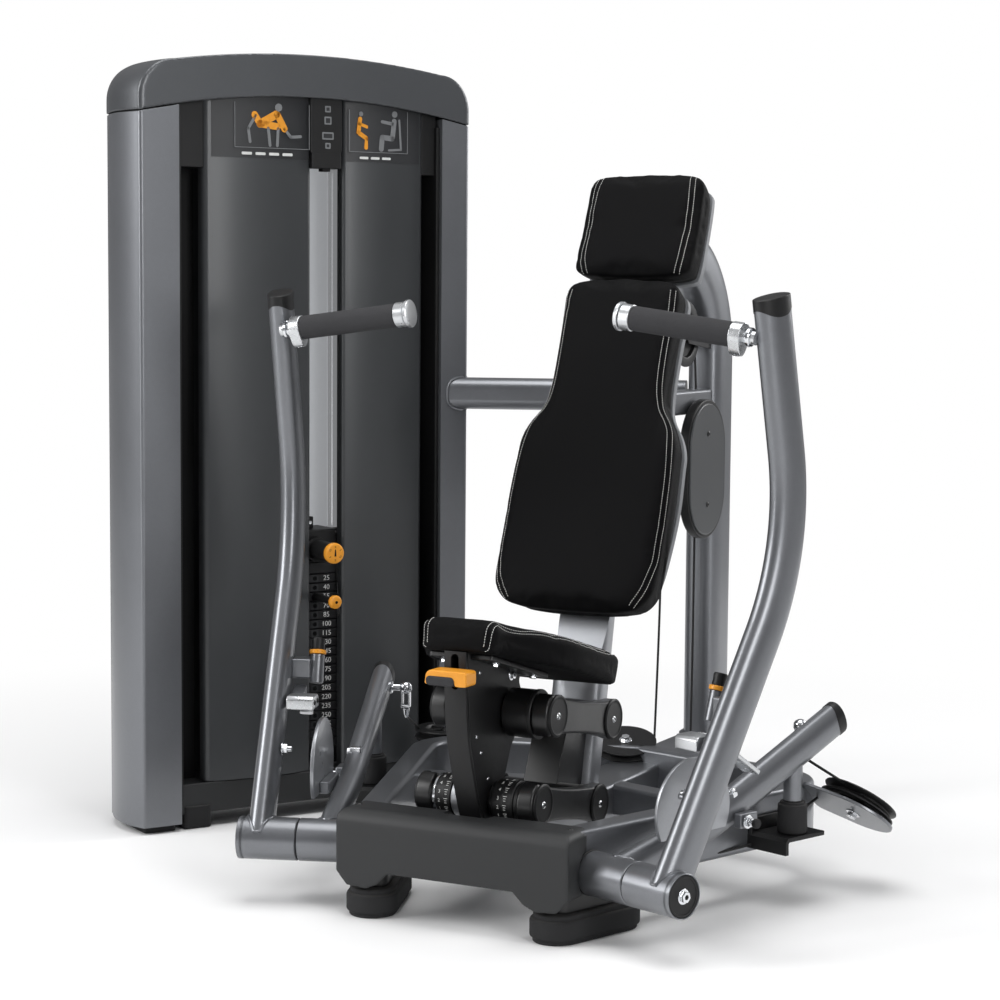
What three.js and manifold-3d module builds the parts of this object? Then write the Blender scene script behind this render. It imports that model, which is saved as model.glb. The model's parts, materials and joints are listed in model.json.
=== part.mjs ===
// Selectorised converging chest press machine, millimetres, +Z up.
// The user faces -Y and +X is the user's left. It is drawn about the seat centre plane (X = 0), with
// Y = 0 on the line through the outer ends of the two press pivots, and then moved as one so that the
// origin is the centre of the footprint box on the floor.
import * as THREE from 'three';
import { mergeVertices } from 'three/addons/utils/BufferGeometryUtils.js';
import Module from 'manifold-3d';

const wasm = await Module();
wasm.setup();

const vec = (x, y, z) => new THREE.Vector3(x, y, z);

// ---------- driving dimensions ----------
const DEGREE = Math.PI / 180;

// Press pivots, levers and arms
const SPLAY = 20 * DEGREE;         // turn of the press pivots and side rails, in plan
const PIVOT_X = 430;               // outer end of each press pivot
const PIVOT_Z = 115;
const SLEEVE_R = 38;
const SLEEVE_L = 108;              // outer and inner sleeve, each
const SHAFT_R = 24;
const BORE_R = SHAFT_R + 0.8;
const ARM_WIDTH = 76, ARM_THICK = 44;
const LEVER_HEIGHT = 62, LEVER_THICK = 42;
const LEVER_X = -157;              // lever centre plane, in the side frame
const BUMPER_Y = 450;              // bumper, along the lever in the side frame

// Base frame
const RAIL_WIDTH = 50, RAIL_Z0 = 85, RAIL_Z1 = 188;
const RAIL_X = -2 * SLEEVE_L - 0.5 - RAIL_WIDTH / 2;   // rail centre plane, in the side frame
const FOOT_X = 180, FOOT_Y = 42;   // front end centre of a front foot
const FOOT_LENGTH = 136;           // between the foot's end centres
const FOOT_R = 46;
const LEG_OFFSET = 60;             // leg centre from the foot's front end centre

// Weight tower: x runs rearward along its inner face, y runs outward
const TOWER_X = -876, TOWER_Y = 320;         // front corner of the inner face
const TOWER_TURN = Math.atan2(852.6, 522.5);
const TOWER_L = 743;
const TOWER_DEPTH = 182;
const FRONT_POST_L = 84, REAR_POST_L = 65;   // posts, along the tower
const POST_TOP = 1434;
const ARCH_RISE = 40;                        // arched lower edge of the cap
const SHROUD_Z0 = 92;
const STACK_X = 405, STACK_Y = 100;          // weight stack centre, in the tower frame
const STACK_X0 = STACK_X - 112, STACK_X1 = STACK_X + 112;
const STACK_Y0 = 47, STACK_Y1 = 150;
const STACK_Z0 = 133;
const ROD_PITCH = 134, ROD_R = 10;
const ROD_XS = [STACK_X - ROD_PITCH / 2, STACK_X + ROD_PITCH / 2];
const PLATE_PITCH = 19.3, RESTING_PLATES = 16, LIFTED_PLATES = 3;
const LIFTED_Z = STACK_Z0 + RESTING_PLATES * PLATE_PITCH;
const STACK_HEAD_Z = LIFTED_Z + LIFTED_PLATES * PLATE_PITCH;

// Pads: where the face starts, and the direction it runs, in the plane X = 0
const padLine = ([y0, z0], [y1, z1]) => (
  { start: vec(0, y0, z0), run: vec(0, y1 - y0, z1 - z0).normalize() });
const BACK = padLine([434, 507], [669, 1114.5]);
const HEAD = padLine([697, 1128], [780, 1325]);
const SEAT = padLine([33, 536], [397, 434]);
const PAD_THICK = 72, BOARD_THICK = 14;
const BOARD_GAP = 0.6;
const BOARD_REAR = PAD_THICK + BOARD_THICK + 2 * BOARD_GAP;   // clear of the board's rear face
const COLUMN_Y = 1118;
const COLUMN_WIDTH = 76, COLUMN_DEPTH = 104;

// Seat linkage pivots (Y, Z): rear ones on the seat post, front ones on the carriage
const LOWER_REAR = [345, 168], UPPER_REAR = [400, 314];
const LINK_Y = -230, LINK_Z = 42;            // from a rear pivot to its front pivot
const frontPivot = ([y, z]) => [y + LINK_Y, z + LINK_Z];
const LOWER_FRONT = frontPivot(LOWER_REAR), UPPER_FRONT = frontPivot(UPPER_REAR);
const LINK_R = 42;
const UPPER_TUBE_R = 30, LOWER_TUBE_R = 26;

const SIDES = [
  { side: 'left', sign: 1, pulley: vec(509, 627, 160), axis: vec(0.27, 0.53, 0.81).normalize() },
  { side: 'right', sign: -1, pulley: vec(-432, 780, 177), axis: vec(0, 0, 1) },
];
const [LEFT, RIGHT] = SIDES;

// ---------- frames ----------
const X_AXIS = vec(1, 0, 0), Y_AXIS = vec(0, 1, 0), Z_AXIS = vec(0, 0, 1);

function place(x, y, z, turn = 0) {
  return new THREE.Matrix4().makeRotationZ(turn).setPosition(x, y, z);
}
const basis = (x, y, z) => new THREE.Matrix4().makeBasis(x, y, z);
const DRAWN_IN_YZ = basis(Y_AXIS, Z_AXIS, X_AXIS);
const DRAWN_IN_XZ = basis(X_AXIS, Z_AXIS, vec(0, -1, 0));

// Frame at a centre, with its y along the given direction
function axisFrame(centre, direction) {
  const turn = new THREE.Quaternion().setFromUnitVectors(Y_AXIS, direction);
  return new THREE.Matrix4().compose(centre, turn, vec(1, 1, 1));
}

// Splayed frame of one side, from the outer end of its pivot at floor level
const sideFrame = (sign) => place(sign * PIVOT_X, 0, 0, -sign * SPLAY);
const sidePoint = (sign, x, y, z = 0) => vec(sign * x, y, z).applyMatrix4(sideFrame(sign));
const towerFrame = place(TOWER_X, TOWER_Y, 0, TOWER_TURN);

// Pad frame: x across, y along the pad, z out of its face
function padFrame({ start, run }) {
  return basis(X_AXIS, run, vec(0, -run.z, run.y)).setPosition(start);
}

const along = (start, direction) => (distance) => (
  start.clone().addScaledVector(direction, distance));

// ---------- outlines ----------
const steps = (count, make) => Array.from({ length: count + 1 }, (_, i) => make(i));

// Angles in degrees
function arc(x, y, radiusX, radiusY, from, to, count) {
  return steps(count, (i) => {
    const angle = (from + (to - from) * i / count) * DEGREE;
    return [x + radiusX * Math.cos(angle), y + radiusY * Math.sin(angle)];
  });
}

function roundRect(x0, x1, y0, y1, radius, count = 3) {
  const corners = [
    [x1 - radius, y1 - radius, 0], [x0 + radius, y1 - radius, 90],
    [x0 + radius, y0 + radius, 180], [x1 - radius, y0 + radius, 270],
  ];
  return corners.flatMap(([x, y, from]) => arc(x, y, radius, radius, from, from + 90, count));
}
const centredRect = (width, height, radius, count) => (
  roundRect(-width / 2, width / 2, -height / 2, height / 2, radius, count));

function superellipse(width, height, count, power) {
  const bulge = (value) => Math.sign(value) * Math.abs(value) ** (2 / power);
  return Array.from({ length: count }, (_, i) => {
    const angle = 2 * Math.PI * i / count;
    return [width / 2 * bulge(Math.cos(angle)), height / 2 * bulge(Math.sin(angle))];
  });
}
const oval = (width, height, count) => superellipse(width, height, count, 2.25);

const mirrored = (half) => [...half, ...half.slice(1, -1).reverse().map(([x, y]) => [-x, y])];

// ---------- solids ----------
function solid(geometry, frame) {
  if (frame) geometry.applyMatrix4(frame);
  geometry.deleteAttribute('normal');
  geometry.deleteAttribute('uv');
  const merged = mergeVertices(geometry, 1e-3);
  const position = merged.getAttribute('position'), index = merged.index.array;
  const corner = (i) => vec(0, 0, 0).fromBufferAttribute(position, i);
  const triangles = [];
  let volume = 0;
  for (let i = 0; i < index.length; i += 3) {
    const [a, b, c] = index.slice(i, i + 3);
    if (a === b || b === c || a === c) continue;
    triangles.push(a, b, c);
    volume += corner(a).dot(corner(b).cross(corner(c)));
  }
  if (volume < 0) flipTriangles(triangles);
  return new wasm.Manifold(new wasm.Mesh({
    numProp: 3,
    vertProperties: new Float32Array(position.array),
    triVerts: new Uint32Array(triangles),
  }));
}
function flipTriangles(list) {
  for (let i = 0; i < list.length; i += 3) [list[i + 1], list[i + 2]] = [list[i + 2], list[i + 1]];
}

const join = (...solids) => solids.reduce((a, b) => a.add(b));
const cut = (body, ...tools) => tools.reduce((a, b) => a.subtract(b), body);
const largest = (body) => body.decompose().sort((a, b) => b.volume() - a.volume())[0];

function box(x0, x1, y0, y1, z0, z1, frame) {
  const centre = place((x0 + x1) / 2, (y0 + y1) / 2, (z0 + z1) / 2);
  if (frame) centre.premultiply(frame);
  return solid(new THREE.BoxGeometry(x1 - x0, y1 - y0, z1 - z0), centre);
}
// Box in a side frame, with x given for the left side
function sideBox(sign, x0, x1, ...rest) {
  const ends = [sign * x0, sign * x1];
  return box(Math.min(...ends), Math.max(...ends), ...rest, sideFrame(sign));
}

function rod(start, end, radius, segments = 20) {
  const direction = end.clone().sub(start), length = direction.length();
  const centre = start.clone().add(end).multiplyScalar(0.5);
  const cylinder = new THREE.CylinderGeometry(radius, radius, length, segments);
  return solid(cylinder, axisFrame(centre, direction.normalize()));
}
const rodX = (x0, x1, [y, z], ...size) => rod(vec(x0, y, z), vec(x1, y, z), ...size);
const rodY = (x, y0, y1, z, ...size) => rod(vec(x, y0, z), vec(x, y1, z), ...size);
const rodZ = (x, y, z0, z1, ...size) => rod(vec(x, y, z0), vec(x, y, z1), ...size);
// Rods end to end on one line; each row is from, to, radius, segments
const stepped = (point, rows) => (
  join(...rows.map(([from, to, ...size]) => rod(point(from), point(to), ...size))));

function shapeOf(points) {
  const shape = new THREE.Shape();
  points.forEach(([x, y], i) => (i ? shape.lineTo(x, y) : shape.moveTo(x, y)));
  shape.closePath();
  return shape;
}

// Outline drawn in x and y, filled from z0 to z1 of a frame
function slab(points, z0, z1, frame = new THREE.Matrix4()) {
  const settings = { depth: z1 - z0, bevelEnabled: false, steps: 1 };
  const geometry = new THREE.ExtrudeGeometry(shapeOf(points), settings);
  return solid(geometry, place(0, 0, z0).premultiply(frame));
}
const slabX = (points, x0, x1) => slab(points, x0, x1, DRAWN_IN_YZ);
const slabY = (points, y0, y1) => slab(points, -y1, -y0, DRAWN_IN_XZ);
// The same plate on both sides of the centre plane
const plates = (points, x0, x1) => join(slabX(points, x0, x1), slabX(points, -x1, -x0));

// Path through given points that keeps the section's x in one direction
class Rail extends THREE.Curve {
  constructor(points, across) {
    super();
    this.points = points;
    this.across = across;
  }
  getSpacedPoints() {
    return this.points.map((point) => point.clone());
  }
  computeFrenetFrames() {
    const { points, across } = this;
    const unit = (from, to) => points[to].clone().sub(points[from]).normalize();
    const tangents = points.map((_, i) => {
      const tangent = vec(0, 0, 0);
      if (i > 0) tangent.add(unit(i - 1, i));
      if (i < points.length - 1) tangent.add(unit(i, i + 1));
      return tangent.normalize();
    });
    const normals = tangents.map((tangent) => (
      across.clone().addScaledVector(tangent, -across.dot(tangent)).normalize()));
    const binormals = tangents.map((tangent, i) => tangent.clone().cross(normals[i]));
    return { tangents, normals, binormals };
  }
}
function sweep(section, path, across) {
  return solid(new THREE.ExtrudeGeometry(shapeOf(section), {
    steps: path.length - 1, bevelEnabled: false, extrudePath: new Rail(path, across),
  }));
}

// Path from start to end with its one corner rounded
function bend(start, corner, end, radius, segments) {
  const back = start.clone().sub(corner).normalize();
  const ahead = end.clone().sub(corner).normalize();
  const half = Math.acos(THREE.MathUtils.clamp(back.dot(ahead), -1, 1)) / 2;
  const inward = back.clone().add(ahead).normalize();
  const centre = along(corner, inward)(radius / Math.sin(half));
  const spoke = (direction) => along(corner, direction)(radius / Math.tan(half)).sub(centre);
  const first = spoke(back), last = spoke(ahead);
  const angle = first.angleTo(last), hinge = first.clone().cross(last).normalize();
  const arcPoints = steps(segments, (i) => (
    first.clone().applyAxisAngle(hinge, angle * i / segments).add(centre)));
  return [start, ...arcPoints, end];
}
const endDirection = (path) => path.at(-1).clone().sub(path.at(-2)).normalize();

// ---------- materials ----------
const finish = (settings) => new THREE.MeshStandardMaterial(settings);
const FRAME_PAINT = finish({ color: 0x8b8d90, roughness: 0.32, metalness: 0.85 });
const CAP_GREY = finish({ color: 0x5a5c5f, roughness: 0.4, metalness: 0.6 });
const MOULDING = finish({ color: 0x2a2b2d, roughness: 0.5, metalness: 0 });
const RUBBER = finish({ color: 0x19191a, roughness: 0.8, metalness: 0 });
const SHROUD_GREY = finish({ color: 0x46484b, roughness: 0.35, metalness: 0.2 });
const UPHOLSTERY = finish({ color: 0x0c0c0d, roughness: 0.7, metalness: 0 });
const BOARD_GREY = finish({ color: 0x77797c, roughness: 0.5, metalness: 0.1 });
const CHROME = finish({ color: 0xd8dadc, roughness: 0.12, metalness: 1 });
const ALUMINIUM = finish({ color: 0xc9cbcd, roughness: 0.3, metalness: 0.9 });
const BLACK_STEEL = finish({ color: 0x141415, roughness: 0.45, metalness: 0.3 });
const ORANGE = finish({ color: 0xde9e3a, roughness: 0.4, metalness: 0 });
const GRIP_RUBBER = finish({ color: 0x2d2e30, roughness: 0.85, metalness: 0 });
const PALE_STEEL = finish({ color: 0xa9abad, roughness: 0.3, metalness: 0.9 });

// ---------- groups and meshes ----------
const machine = new THREE.Group();

function add(name, body, material, parent = machine, sign = 1) {
  const { vertProperties, triVerts } = body.getMesh();
  const positions = new Float32Array(vertProperties), triangles = new Uint32Array(triVerts);
  if (sign < 0) {
    for (let i = 0; i < positions.length; i += 3) positions[i] = -positions[i];
    flipTriangles(triangles);
  }
  const geometry = new THREE.BufferGeometry();
  geometry.setAttribute('position', new THREE.BufferAttribute(positions, 3));
  geometry.setIndex(new THREE.BufferAttribute(triangles, 1));
  geometry.computeVertexNormals();
  const mesh = new THREE.Mesh(geometry, material);
  mesh.name = name;
  parent.add(mesh);
}

// One group per side, at the outer end of its pivot
const sideGroups = SIDES.map(({ sign }) => {
  const group = new THREE.Group();
  group.position.set(sign * PIVOT_X, 0, PIVOT_Z);
  group.rotation.z = -sign * SPLAY;
  machine.add(group);
  return group;
});

// ---------- feet ----------
function frontFoot(sign) {
  const outline = [
    ...arc(0, 0, FOOT_R, FOOT_R, 180, 360, 8),
    ...arc(0, FOOT_LENGTH, FOOT_R, FOOT_R, 0, 180, 8),
  ];
  const middle = FOOT_LENGTH / 2;
  const frame = place(sign * FOOT_X, FOOT_Y, 0, -sign * SPLAY);
  const layer = (scale, z0, z1) => {
    const lengthScale = 1 - (1 - scale) * 0.4;
    const scaled = outline.map(([x, y]) => [x * scale, (y - middle) * lengthScale + middle]);
    return slab(scaled, z0, z1, frame);
  };
  return join(layer(0.9, 0, 8), layer(1, 7, 42), layer(0.86, 41, 50));
}
function rearFoot() {
  const frame = place(0, 1130, 0);
  return join(
    slab(centredRect(300, 84, 40, 6), 8, 42, frame),
    slab(centredRect(280, 64, 31, 6), 0, 10, frame),
  );
}
add('foot_front_left', frontFoot(1), RUBBER);
add('foot_front_right', frontFoot(-1), RUBBER);
add('foot_rear', rearFoot(), RUBBER);

// Frame at the centre of a front leg
function legFrame(sign) {
  const x = sign * (FOOT_X + LEG_OFFSET * Math.sin(SPLAY));
  return place(x, FOOT_Y + LEG_OFFSET * Math.cos(SPLAY), 0, -sign * SPLAY);
}

// ---------- front cover ----------
function frontCover() {
  const half = 225, wall = 5;
  // (X, Z), over the top and back along the lower edge
  const outline = [
    [-half, 82],
    ...arc(-half + 16, 176, 16, 16, 180, 90, 5),
    ...arc(half - 16, 176, 16, 16, 90, 0, 5),
    [half, 82], [half - 22, 58], [half - 62, 56], [half - 84, 66], [half - 104, 86],
    [-half + 104, 86], [-half + 84, 66], [-half + 62, 56], [-half + 22, 58],
  ];
  const inner = outline.map(([x, z]) => [x * (half - wall) / half, z > 100 ? z - wall : z - 12]);
  // Side profiles (Y, Z)
  const profile = [[95, 40], [95, 192], [22, 192], ...arc(16, 166, 26, 26, 90, 180, 6), [-10, 40]];
  const innerProfile = [[110, 20], [110, 187], [22, 187], [4, 182], [-5, 166], [-5, 20]];
  const across = (points) => slabX(points, -half - 5, half + 5);
  const shell = slabY(outline, -10, 72).intersect(across(profile));
  let cover = cut(shell, slabY(inner, -5, 73).intersect(across(innerProfile)));

  // Openings for the side rail, pivot sleeves, foot and leg of each side
  const railHalf = RAIL_WIDTH / 2 + 0.6;
  for (const sign of [1, -1]) {
    const foot = place(sign * (FOOT_X + 23), FOOT_Y + 64, 0, -sign * SPLAY);
    cover = cut(
      cover,
      sideBox(sign, RAIL_X - railHalf, RAIL_X + railHalf, -64, 200, 40, RAIL_Z1 + 0.6),
      rod(sidePoint(sign, -230, 0, PIVOT_Z), sidePoint(sign, 20, 0, PIVOT_Z), SLEEVE_R + 1.5, 28),
      slab(centredRect(98, 240, 48, 4), -2, 52, foot),
      slab(centredRect(60, 154, 20, 2), 45, 105, legFrame(sign)),
    );
  }
  return cut(cover, box(-42, 42, 48, 80, 140, 200));
}
add('front_cover', frontCover(), MOULDING);

// ---------- press pivots, levers and arms ----------
// Drawn from the pivot's outer end for the left side (x outward, y to the rear); mirrored for the right
const PIVOT_AXIS = [0, 0];
const SHAFT_END = -2 * SLEEVE_L - 0.1;
const LEVER_END = vec(LEVER_X, 560, 203);
const leverPath = bend(vec(LEVER_X, 0, 5), vec(LEVER_X, 235, 64), LEVER_END, 260, 4);
const ARM_X = -37;
const armPath = bend(vec(ARM_X, 0, 0), vec(ARM_X, 303, 545), vec(ARM_X + 12, 219, 954), 450, 7);
const HANDLE_START = vec(-47, 188, 902), HANDLE_END = vec(-285.2, 122.9, 934);
const HANDLE_L = HANDLE_END.distanceTo(HANDLE_START);
const handlePoint = along(HANDLE_START, HANDLE_END.clone().sub(HANDLE_START).normalize());

const pivotShaft = () => join(
  rodX(SHAFT_END, -9, PIVOT_AXIS, SHAFT_R, 20),
  rodX(SHAFT_END, -2 * SLEEVE_L + 5, PIVOT_AXIS, 34, 20),
);

// Round plate beside the arm with a row of holes, on a block welded to the lever
function stopPlate() {
  const holes = [50, 39, 28].map((degrees) => {
    const angle = degrees * DEGREE;
    return rodX(-130, -100, [172 * Math.cos(angle), 172 * Math.sin(angle)], 6.4, 10);
  });
  return join(
    cut(slabX(arc(145, 103, 90, 90, -27, 209, 18), -122, -115), ...holes),
    box(-150, -116, 104, 196, 60, 82),
    box(-150, -136, 104, 196, 30, 82),
  );
}

function lever() {
  const body = join(
    rodX(-2 * SLEEVE_L + 6, -SLEEVE_L - 1, PIVOT_AXIS, SLEEVE_R, 22),
    sweep(oval(LEVER_HEIGHT, LEVER_THICK, 14), leverPath, Z_AXIS),
    rodZ(LEVER_X, BUMPER_Y, 69, 150, 17, 16),   // stub that meets the bumper
    stopPlate(),
  );
  return cut(body, rodX(-300, 50, PIVOT_AXIS, BORE_R, 16));
}

function leverCap() {
  const direction = endDirection(leverPath);
  const frame = basis(X_AXIS, direction.clone().cross(X_AXIS), direction).setPosition(LEVER_END);
  return slab(oval(LEVER_THICK + 2, LEVER_HEIGHT + 2, 18), 0.4, 12.4, frame);
}

const pressArm = () => cut(
  join(
    rodX(-SLEEVE_L, 0, PIVOT_AXIS, SLEEVE_R, 22),
    sweep(oval(ARM_THICK, ARM_WIDTH, 16), armPath, X_AXIS),
  ),
  rodX(-300, -8, PIVOT_AXIS, BORE_R, 16),
  rodX(-8.4, 50, PIVOT_AXIS, 33.4, 24),         // recess for the hub cap
);

const hubCap = () => join(
  rodX(-8, -1.5, PIVOT_AXIS, 33, 24),
  rodX(-1.6, 5, PIVOT_AXIS, 10, 6),
);

function armCap() {
  const point = along(armPath.at(-1), endDirection(armPath));
  return sweep(oval(ARM_THICK + 2, ARM_WIDTH + 2, 20), [point(0.4), point(18)], X_AXIS);
}

function handle() {
  const post = handlePoint(20);
  const bar = join(
    stepped(handlePoint, [
      [-14, HANDLE_L - 4, 12, 12],
      [10, 30, 22.5, 16],
      [HANDLE_L - 9, HANDLE_L, 25, 16],
      [HANDLE_L - 13, HANDLE_L - 8, 22, 16],
    ]),
    rodZ(post.x, post.y, post.z - 26, post.z, 10.5, 10),
  );
  const arm = sweep(oval(ARM_THICK + 0.8, ARM_WIDTH + 0.8, 16), armPath, X_AXIS);
  return largest(cut(bar, arm));
}

const grip = () => cut(
  rod(handlePoint(30.4), handlePoint(HANDLE_L - 13.4), 21.5, 16),
  rod(handlePoint(0), handlePoint(HANDLE_L), 12.4, 12),
);

// Angled bracket beside the arm, with two holes in its slope
function stopBracket() {
  const block = [[92, 216], [92, 234], [97, 240], [132, 240], [141, 234], [141, 216]];
  const slope = [[128, 220], [134, 238], [146, 236], [254, 164], [250, 158], [140, 230]];
  const lug = [[141, 216], [141, 236], [176, 250], [176, 226]];
  const slopePoint = along(vec(-82, 146, 233), vec(0, 108, -72).normalize());
  const holes = [48, 84].map((distance) => {
    const through = along(slopePoint(distance), vec(0, 72, 108).normalize());
    return rod(through(-12), through(12), 6, 12);
  });
  return cut(join(slabX(block, -113, -63), slabX(slope, -102, -63), slabX(lug, -84, -63)), ...holes);
}

const stopPin = () => stepped(along(vec(-102, 170.5, 254.7), vec(0, 0.29, 1).normalize()), [
  [0, 52, 13, 16],
  [51, 60, 15.5, 16],
  [59, 82, 12.5, 16],
]);

const pressPieces = [
  ['pivot_shaft', pivotShaft(), PALE_STEEL],
  ['lever', lever(), FRAME_PAINT],
  ['lever_cap', leverCap(), MOULDING],
  ['press_arm', pressArm(), FRAME_PAINT],
  ['hub_cap', hubCap(), MOULDING],
  ['arm_cap', armCap(), MOULDING],
  ['handle', handle(), ALUMINIUM],
  ['grip', grip(), GRIP_RUBBER],
  ['stop_bracket', stopBracket(), ALUMINIUM],
  ['stop_pin', stopPin(), ORANGE],
];
SIDES.forEach(({ side, sign }, i) => {
  for (const [name, body, material] of pressPieces) {
    add(`${name}_${side}`, body, material, sideGroups[i], sign);
  }
});

// ---------- seat post ----------
// Everything ahead of the plane just behind a pad's board
const aheadOfBoard = (pad, halfLength) => (
  box(-300, 300, -halfLength, halfLength, -BOARD_REAR, 400 - BOARD_REAR, padFrame(pad)));

function seatPost() {
  const [lowY, lowZ] = LOWER_REAR, [highY, highZ] = UPPER_REAR;
  const pivots = [LOWER_REAR, UPPER_REAR];
  const gusset = [
    [lowY - 12, lowZ + 24], [lowY - 12, 161], [470, 161],
    [480, 300], [highY, highZ + 26], [highY - 20, highZ - 10],
  ];
  const post = join(
    sweep(superellipse(104, 62, 24, 3), [vec(0, 462, 150), vec(0, 574, 700)], X_AXIS),
    ...pivots.map((pivot) => rodX(-80, 80, pivot, 31, 20)),
    slabX(gusset, -34, 34),
  );
  return cut(
    post,
    ...pivots.map((pivot) => rodX(-110, 110, pivot, 11, 14)),
    aheadOfBoard(BACK, 750),
    box(-120, 120, 200, 600, 0, 160.5),
  );
}
add('seat_post', seatPost(), PALE_STEEL);

// ---------- back pad, head pad and their boards ----------
// Right-hand halves of outlines: x from the centre, y along the pad
const BACK_HALF = [
  [0, -6], [95, -5], [138, 6], [163, 34], [170, 75], [171, 200], [168, 290], [165, 330],
  [152, 365], [131, 398], [124, 430], [122, 500], [124, 600], [121, 634], [105, 651], [0, 653],
];
const HEAD_HALF = [
  [0, -8], [70, -7], [112, 0], [127, 20], [128, 100], [126, 170], [121, 196], [104, 211], [0, 214],
];

// Widens a half outline, and moves its three first and three last points outward in y
function grow(half, margin) {
  return half.map(([x, y], i) => {
    const shift = i < 3 ? -margin : i > half.length - 4 ? margin : 0;
    return [x === 0 ? 0 : x + margin, y + shift];
  });
}
const BACK_BOARD_HALF = [
  [0, 22], [88, 23], [130, 32], [159, 54], [172, 88], ...grow(BACK_HALF, 3).slice(5),
];

const padBody = (half, pad) => join(
  slab(mirrored(half), -PAD_THICK, -14, padFrame(pad)),
  slab(mirrored(grow(half, -9)), -15, -2, padFrame(pad)),
);
function board(half, pad) {
  const front = -PAD_THICK - BOARD_GAP;
  return slab(mirrored(half), front - BOARD_THICK, front, padFrame(pad));
}
add('back_pad', padBody(BACK_HALF, BACK), UPHOLSTERY);
add('back_board', board(BACK_BOARD_HALF, BACK), BOARD_GREY);
add('head_pad', padBody(HEAD_HALF, HEAD), UPHOLSTERY);
add('head_board', board(grow(HEAD_HALF, 3), HEAD), BOARD_GREY);

// ---------- rear column ----------
function rearColumn() {
  const boardPoint = (pad, distance) => vec(0, distance, -BOARD_REAR).applyMatrix4(padFrame(pad));
  const top = boardPoint(HEAD, 85), joint = boardPoint(BACK, 420);
  const path = bend(vec(0, COLUMN_Y, 160), vec(0, COLUMN_Y, 1178), vec(0, top.y - 6, top.z), 210, 6);
  const yoke = [[948, 990], [1090, 975], [1090, 1035], [948, 1020]];
  const column = join(
    sweep(superellipse(COLUMN_WIDTH, COLUMN_DEPTH, 20, 3.2), path, X_AXIS),
    // Arm that carries the upper end of the back board
    box(-24, 24, joint.y - 20, 1100, joint.z - 24, joint.z + 24),
    plates(yoke, 16, 21),
  );
  return largest(cut(
    column,
    aheadOfBoard(BACK, 750),
    aheadOfBoard(HEAD, 450),
    box(-200, 200, 900, 1300, -50, 160.5),
  ));
}
add('rear_column', rearColumn(), FRAME_PAINT);

// ---------- weight tower ----------
const tower = new THREE.Group();
tower.position.set(TOWER_X, TOWER_Y, 0);
tower.rotation.z = TOWER_TURN;
machine.add(tower);
const addToTower = (name, body, material) => add(name, body, material, tower);

// Plan of the tower's front end up to x = end: bulged nose, outer corner chamfered
function nosed(end, margin = 0) {
  const outer = TOWER_DEPTH + margin;
  const nose = steps(10, (i) => {
    const across = -1 + 2 * i / 10;
    const x = -16 * (1 - across * across) - margin + (i === 10 ? 2 : 0);
    return [x, -margin + 6 + (outer + margin - 26) * (i / 10)];
  });
  return [
    ...nose, [7 - margin, outer - 6], [18, outer], [end, outer], [end, -margin], [8, -margin],
  ];
}
const endForEnd = (points) => points.map(([x, y]) => [TOWER_L - x, y]);
// 0 at the tower's ends, 1 at its middle
const archShape = (x) => 1 - ((x - TOWER_L / 2) / (TOWER_L / 2)) ** 2;

const towerPost = (plan, hollowX0, hollowX1) => cut(
  slab(plan, 14, POST_TOP),
  box(hollowX0, hollowX1, 14, TOWER_DEPTH - 14, -10, POST_TOP - 12),
);

function towerCap() {
  const endInset = 50;
  const lowerEdge = steps(12, (i) => {
    const x = -35 + (TOWER_L + 70) * i / 12;
    const within = THREE.MathUtils.clamp(x, 0, TOWER_L);
    return [x, POST_TOP + 2.5 + ARCH_RISE * archShape(within)];
  });
  const upperEdge = steps(10, (i) => {
    const x = endInset + (TOWER_L - 2 * endInset) * i / 10;
    return [x, 1526 + 36 * archShape(x)];
  });
  const face = [
    ...lowerEdge,
    ...arc(TOWER_L - endInset, 1466, 68, 66, 0, 90, 5),
    ...upperEdge.slice(1, -1).reverse(),
    ...arc(endInset, 1466, 68, 66, 90, 180, 5),
  ];
  const hollow = face.map(([x, z], i) => (
    [TOWER_L / 2 + (x - TOWER_L / 2) * 0.955, i < lowerEdge.length ? z - 30 : z - 14]));
  const end = nosed(300, 1).slice(0, 14);
  const plan = [...end, ...endForEnd(end).reverse(), [TOWER_L - 300, -1], [300, -1]];
  const body = slabY(face, -10, TOWER_DEPTH + 10).intersect(slab(plan, 1400, 1620));
  return cut(body, slabY(hollow, 8, TOWER_DEPTH - 8));
}

// Box that ties the posts, and its two feet
const towerBase = () => join(
  box(FRONT_POST_L + 0.4, TOWER_L - REAR_POST_L - 0.4, 22, TOWER_DEPTH - 16, 44, 88),
  box(FRONT_POST_L + 10, FRONT_POST_L + 70, 10, TOWER_DEPTH - 10, 0, 46),
  box(TOWER_L - REAR_POST_L - 70, TOWER_L - REAR_POST_L - 10, 10, TOWER_DEPTH - 10, 0, 46),
);

// Sheet on the inner face, bowed inward towards the user, with returned edges
function innerShroud(x0, x1, bow) {
  const bowed = (y) => steps(8, (i) => {
    const across = -1 + 2 * i / 8;
    return [x0 + (x1 - x0) * i / 8, y - bow * (1 - across * across)];
  });
  const plan = [
    ...bowed(20), [x1, 32], [x1 - 4, 32], [x1 - 4, 24],
    ...bowed(24).slice(1, -1).reverse(), [x0 + 4, 24], [x0 + 4, 32], [x0, 32],
  ];
  const arch = steps(12, (i) => {
    const x = TOWER_L * i / 12;
    return [x, POST_TOP - 1 + ARCH_RISE * archShape(x)];
  });
  const underCap = slabY([[-50, 0], [TOWER_L + 50, 0], ...arch.reverse()], -200, 200);
  return slab(plan, SHROUD_Z0, 1500).intersect(underCap);
}

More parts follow.
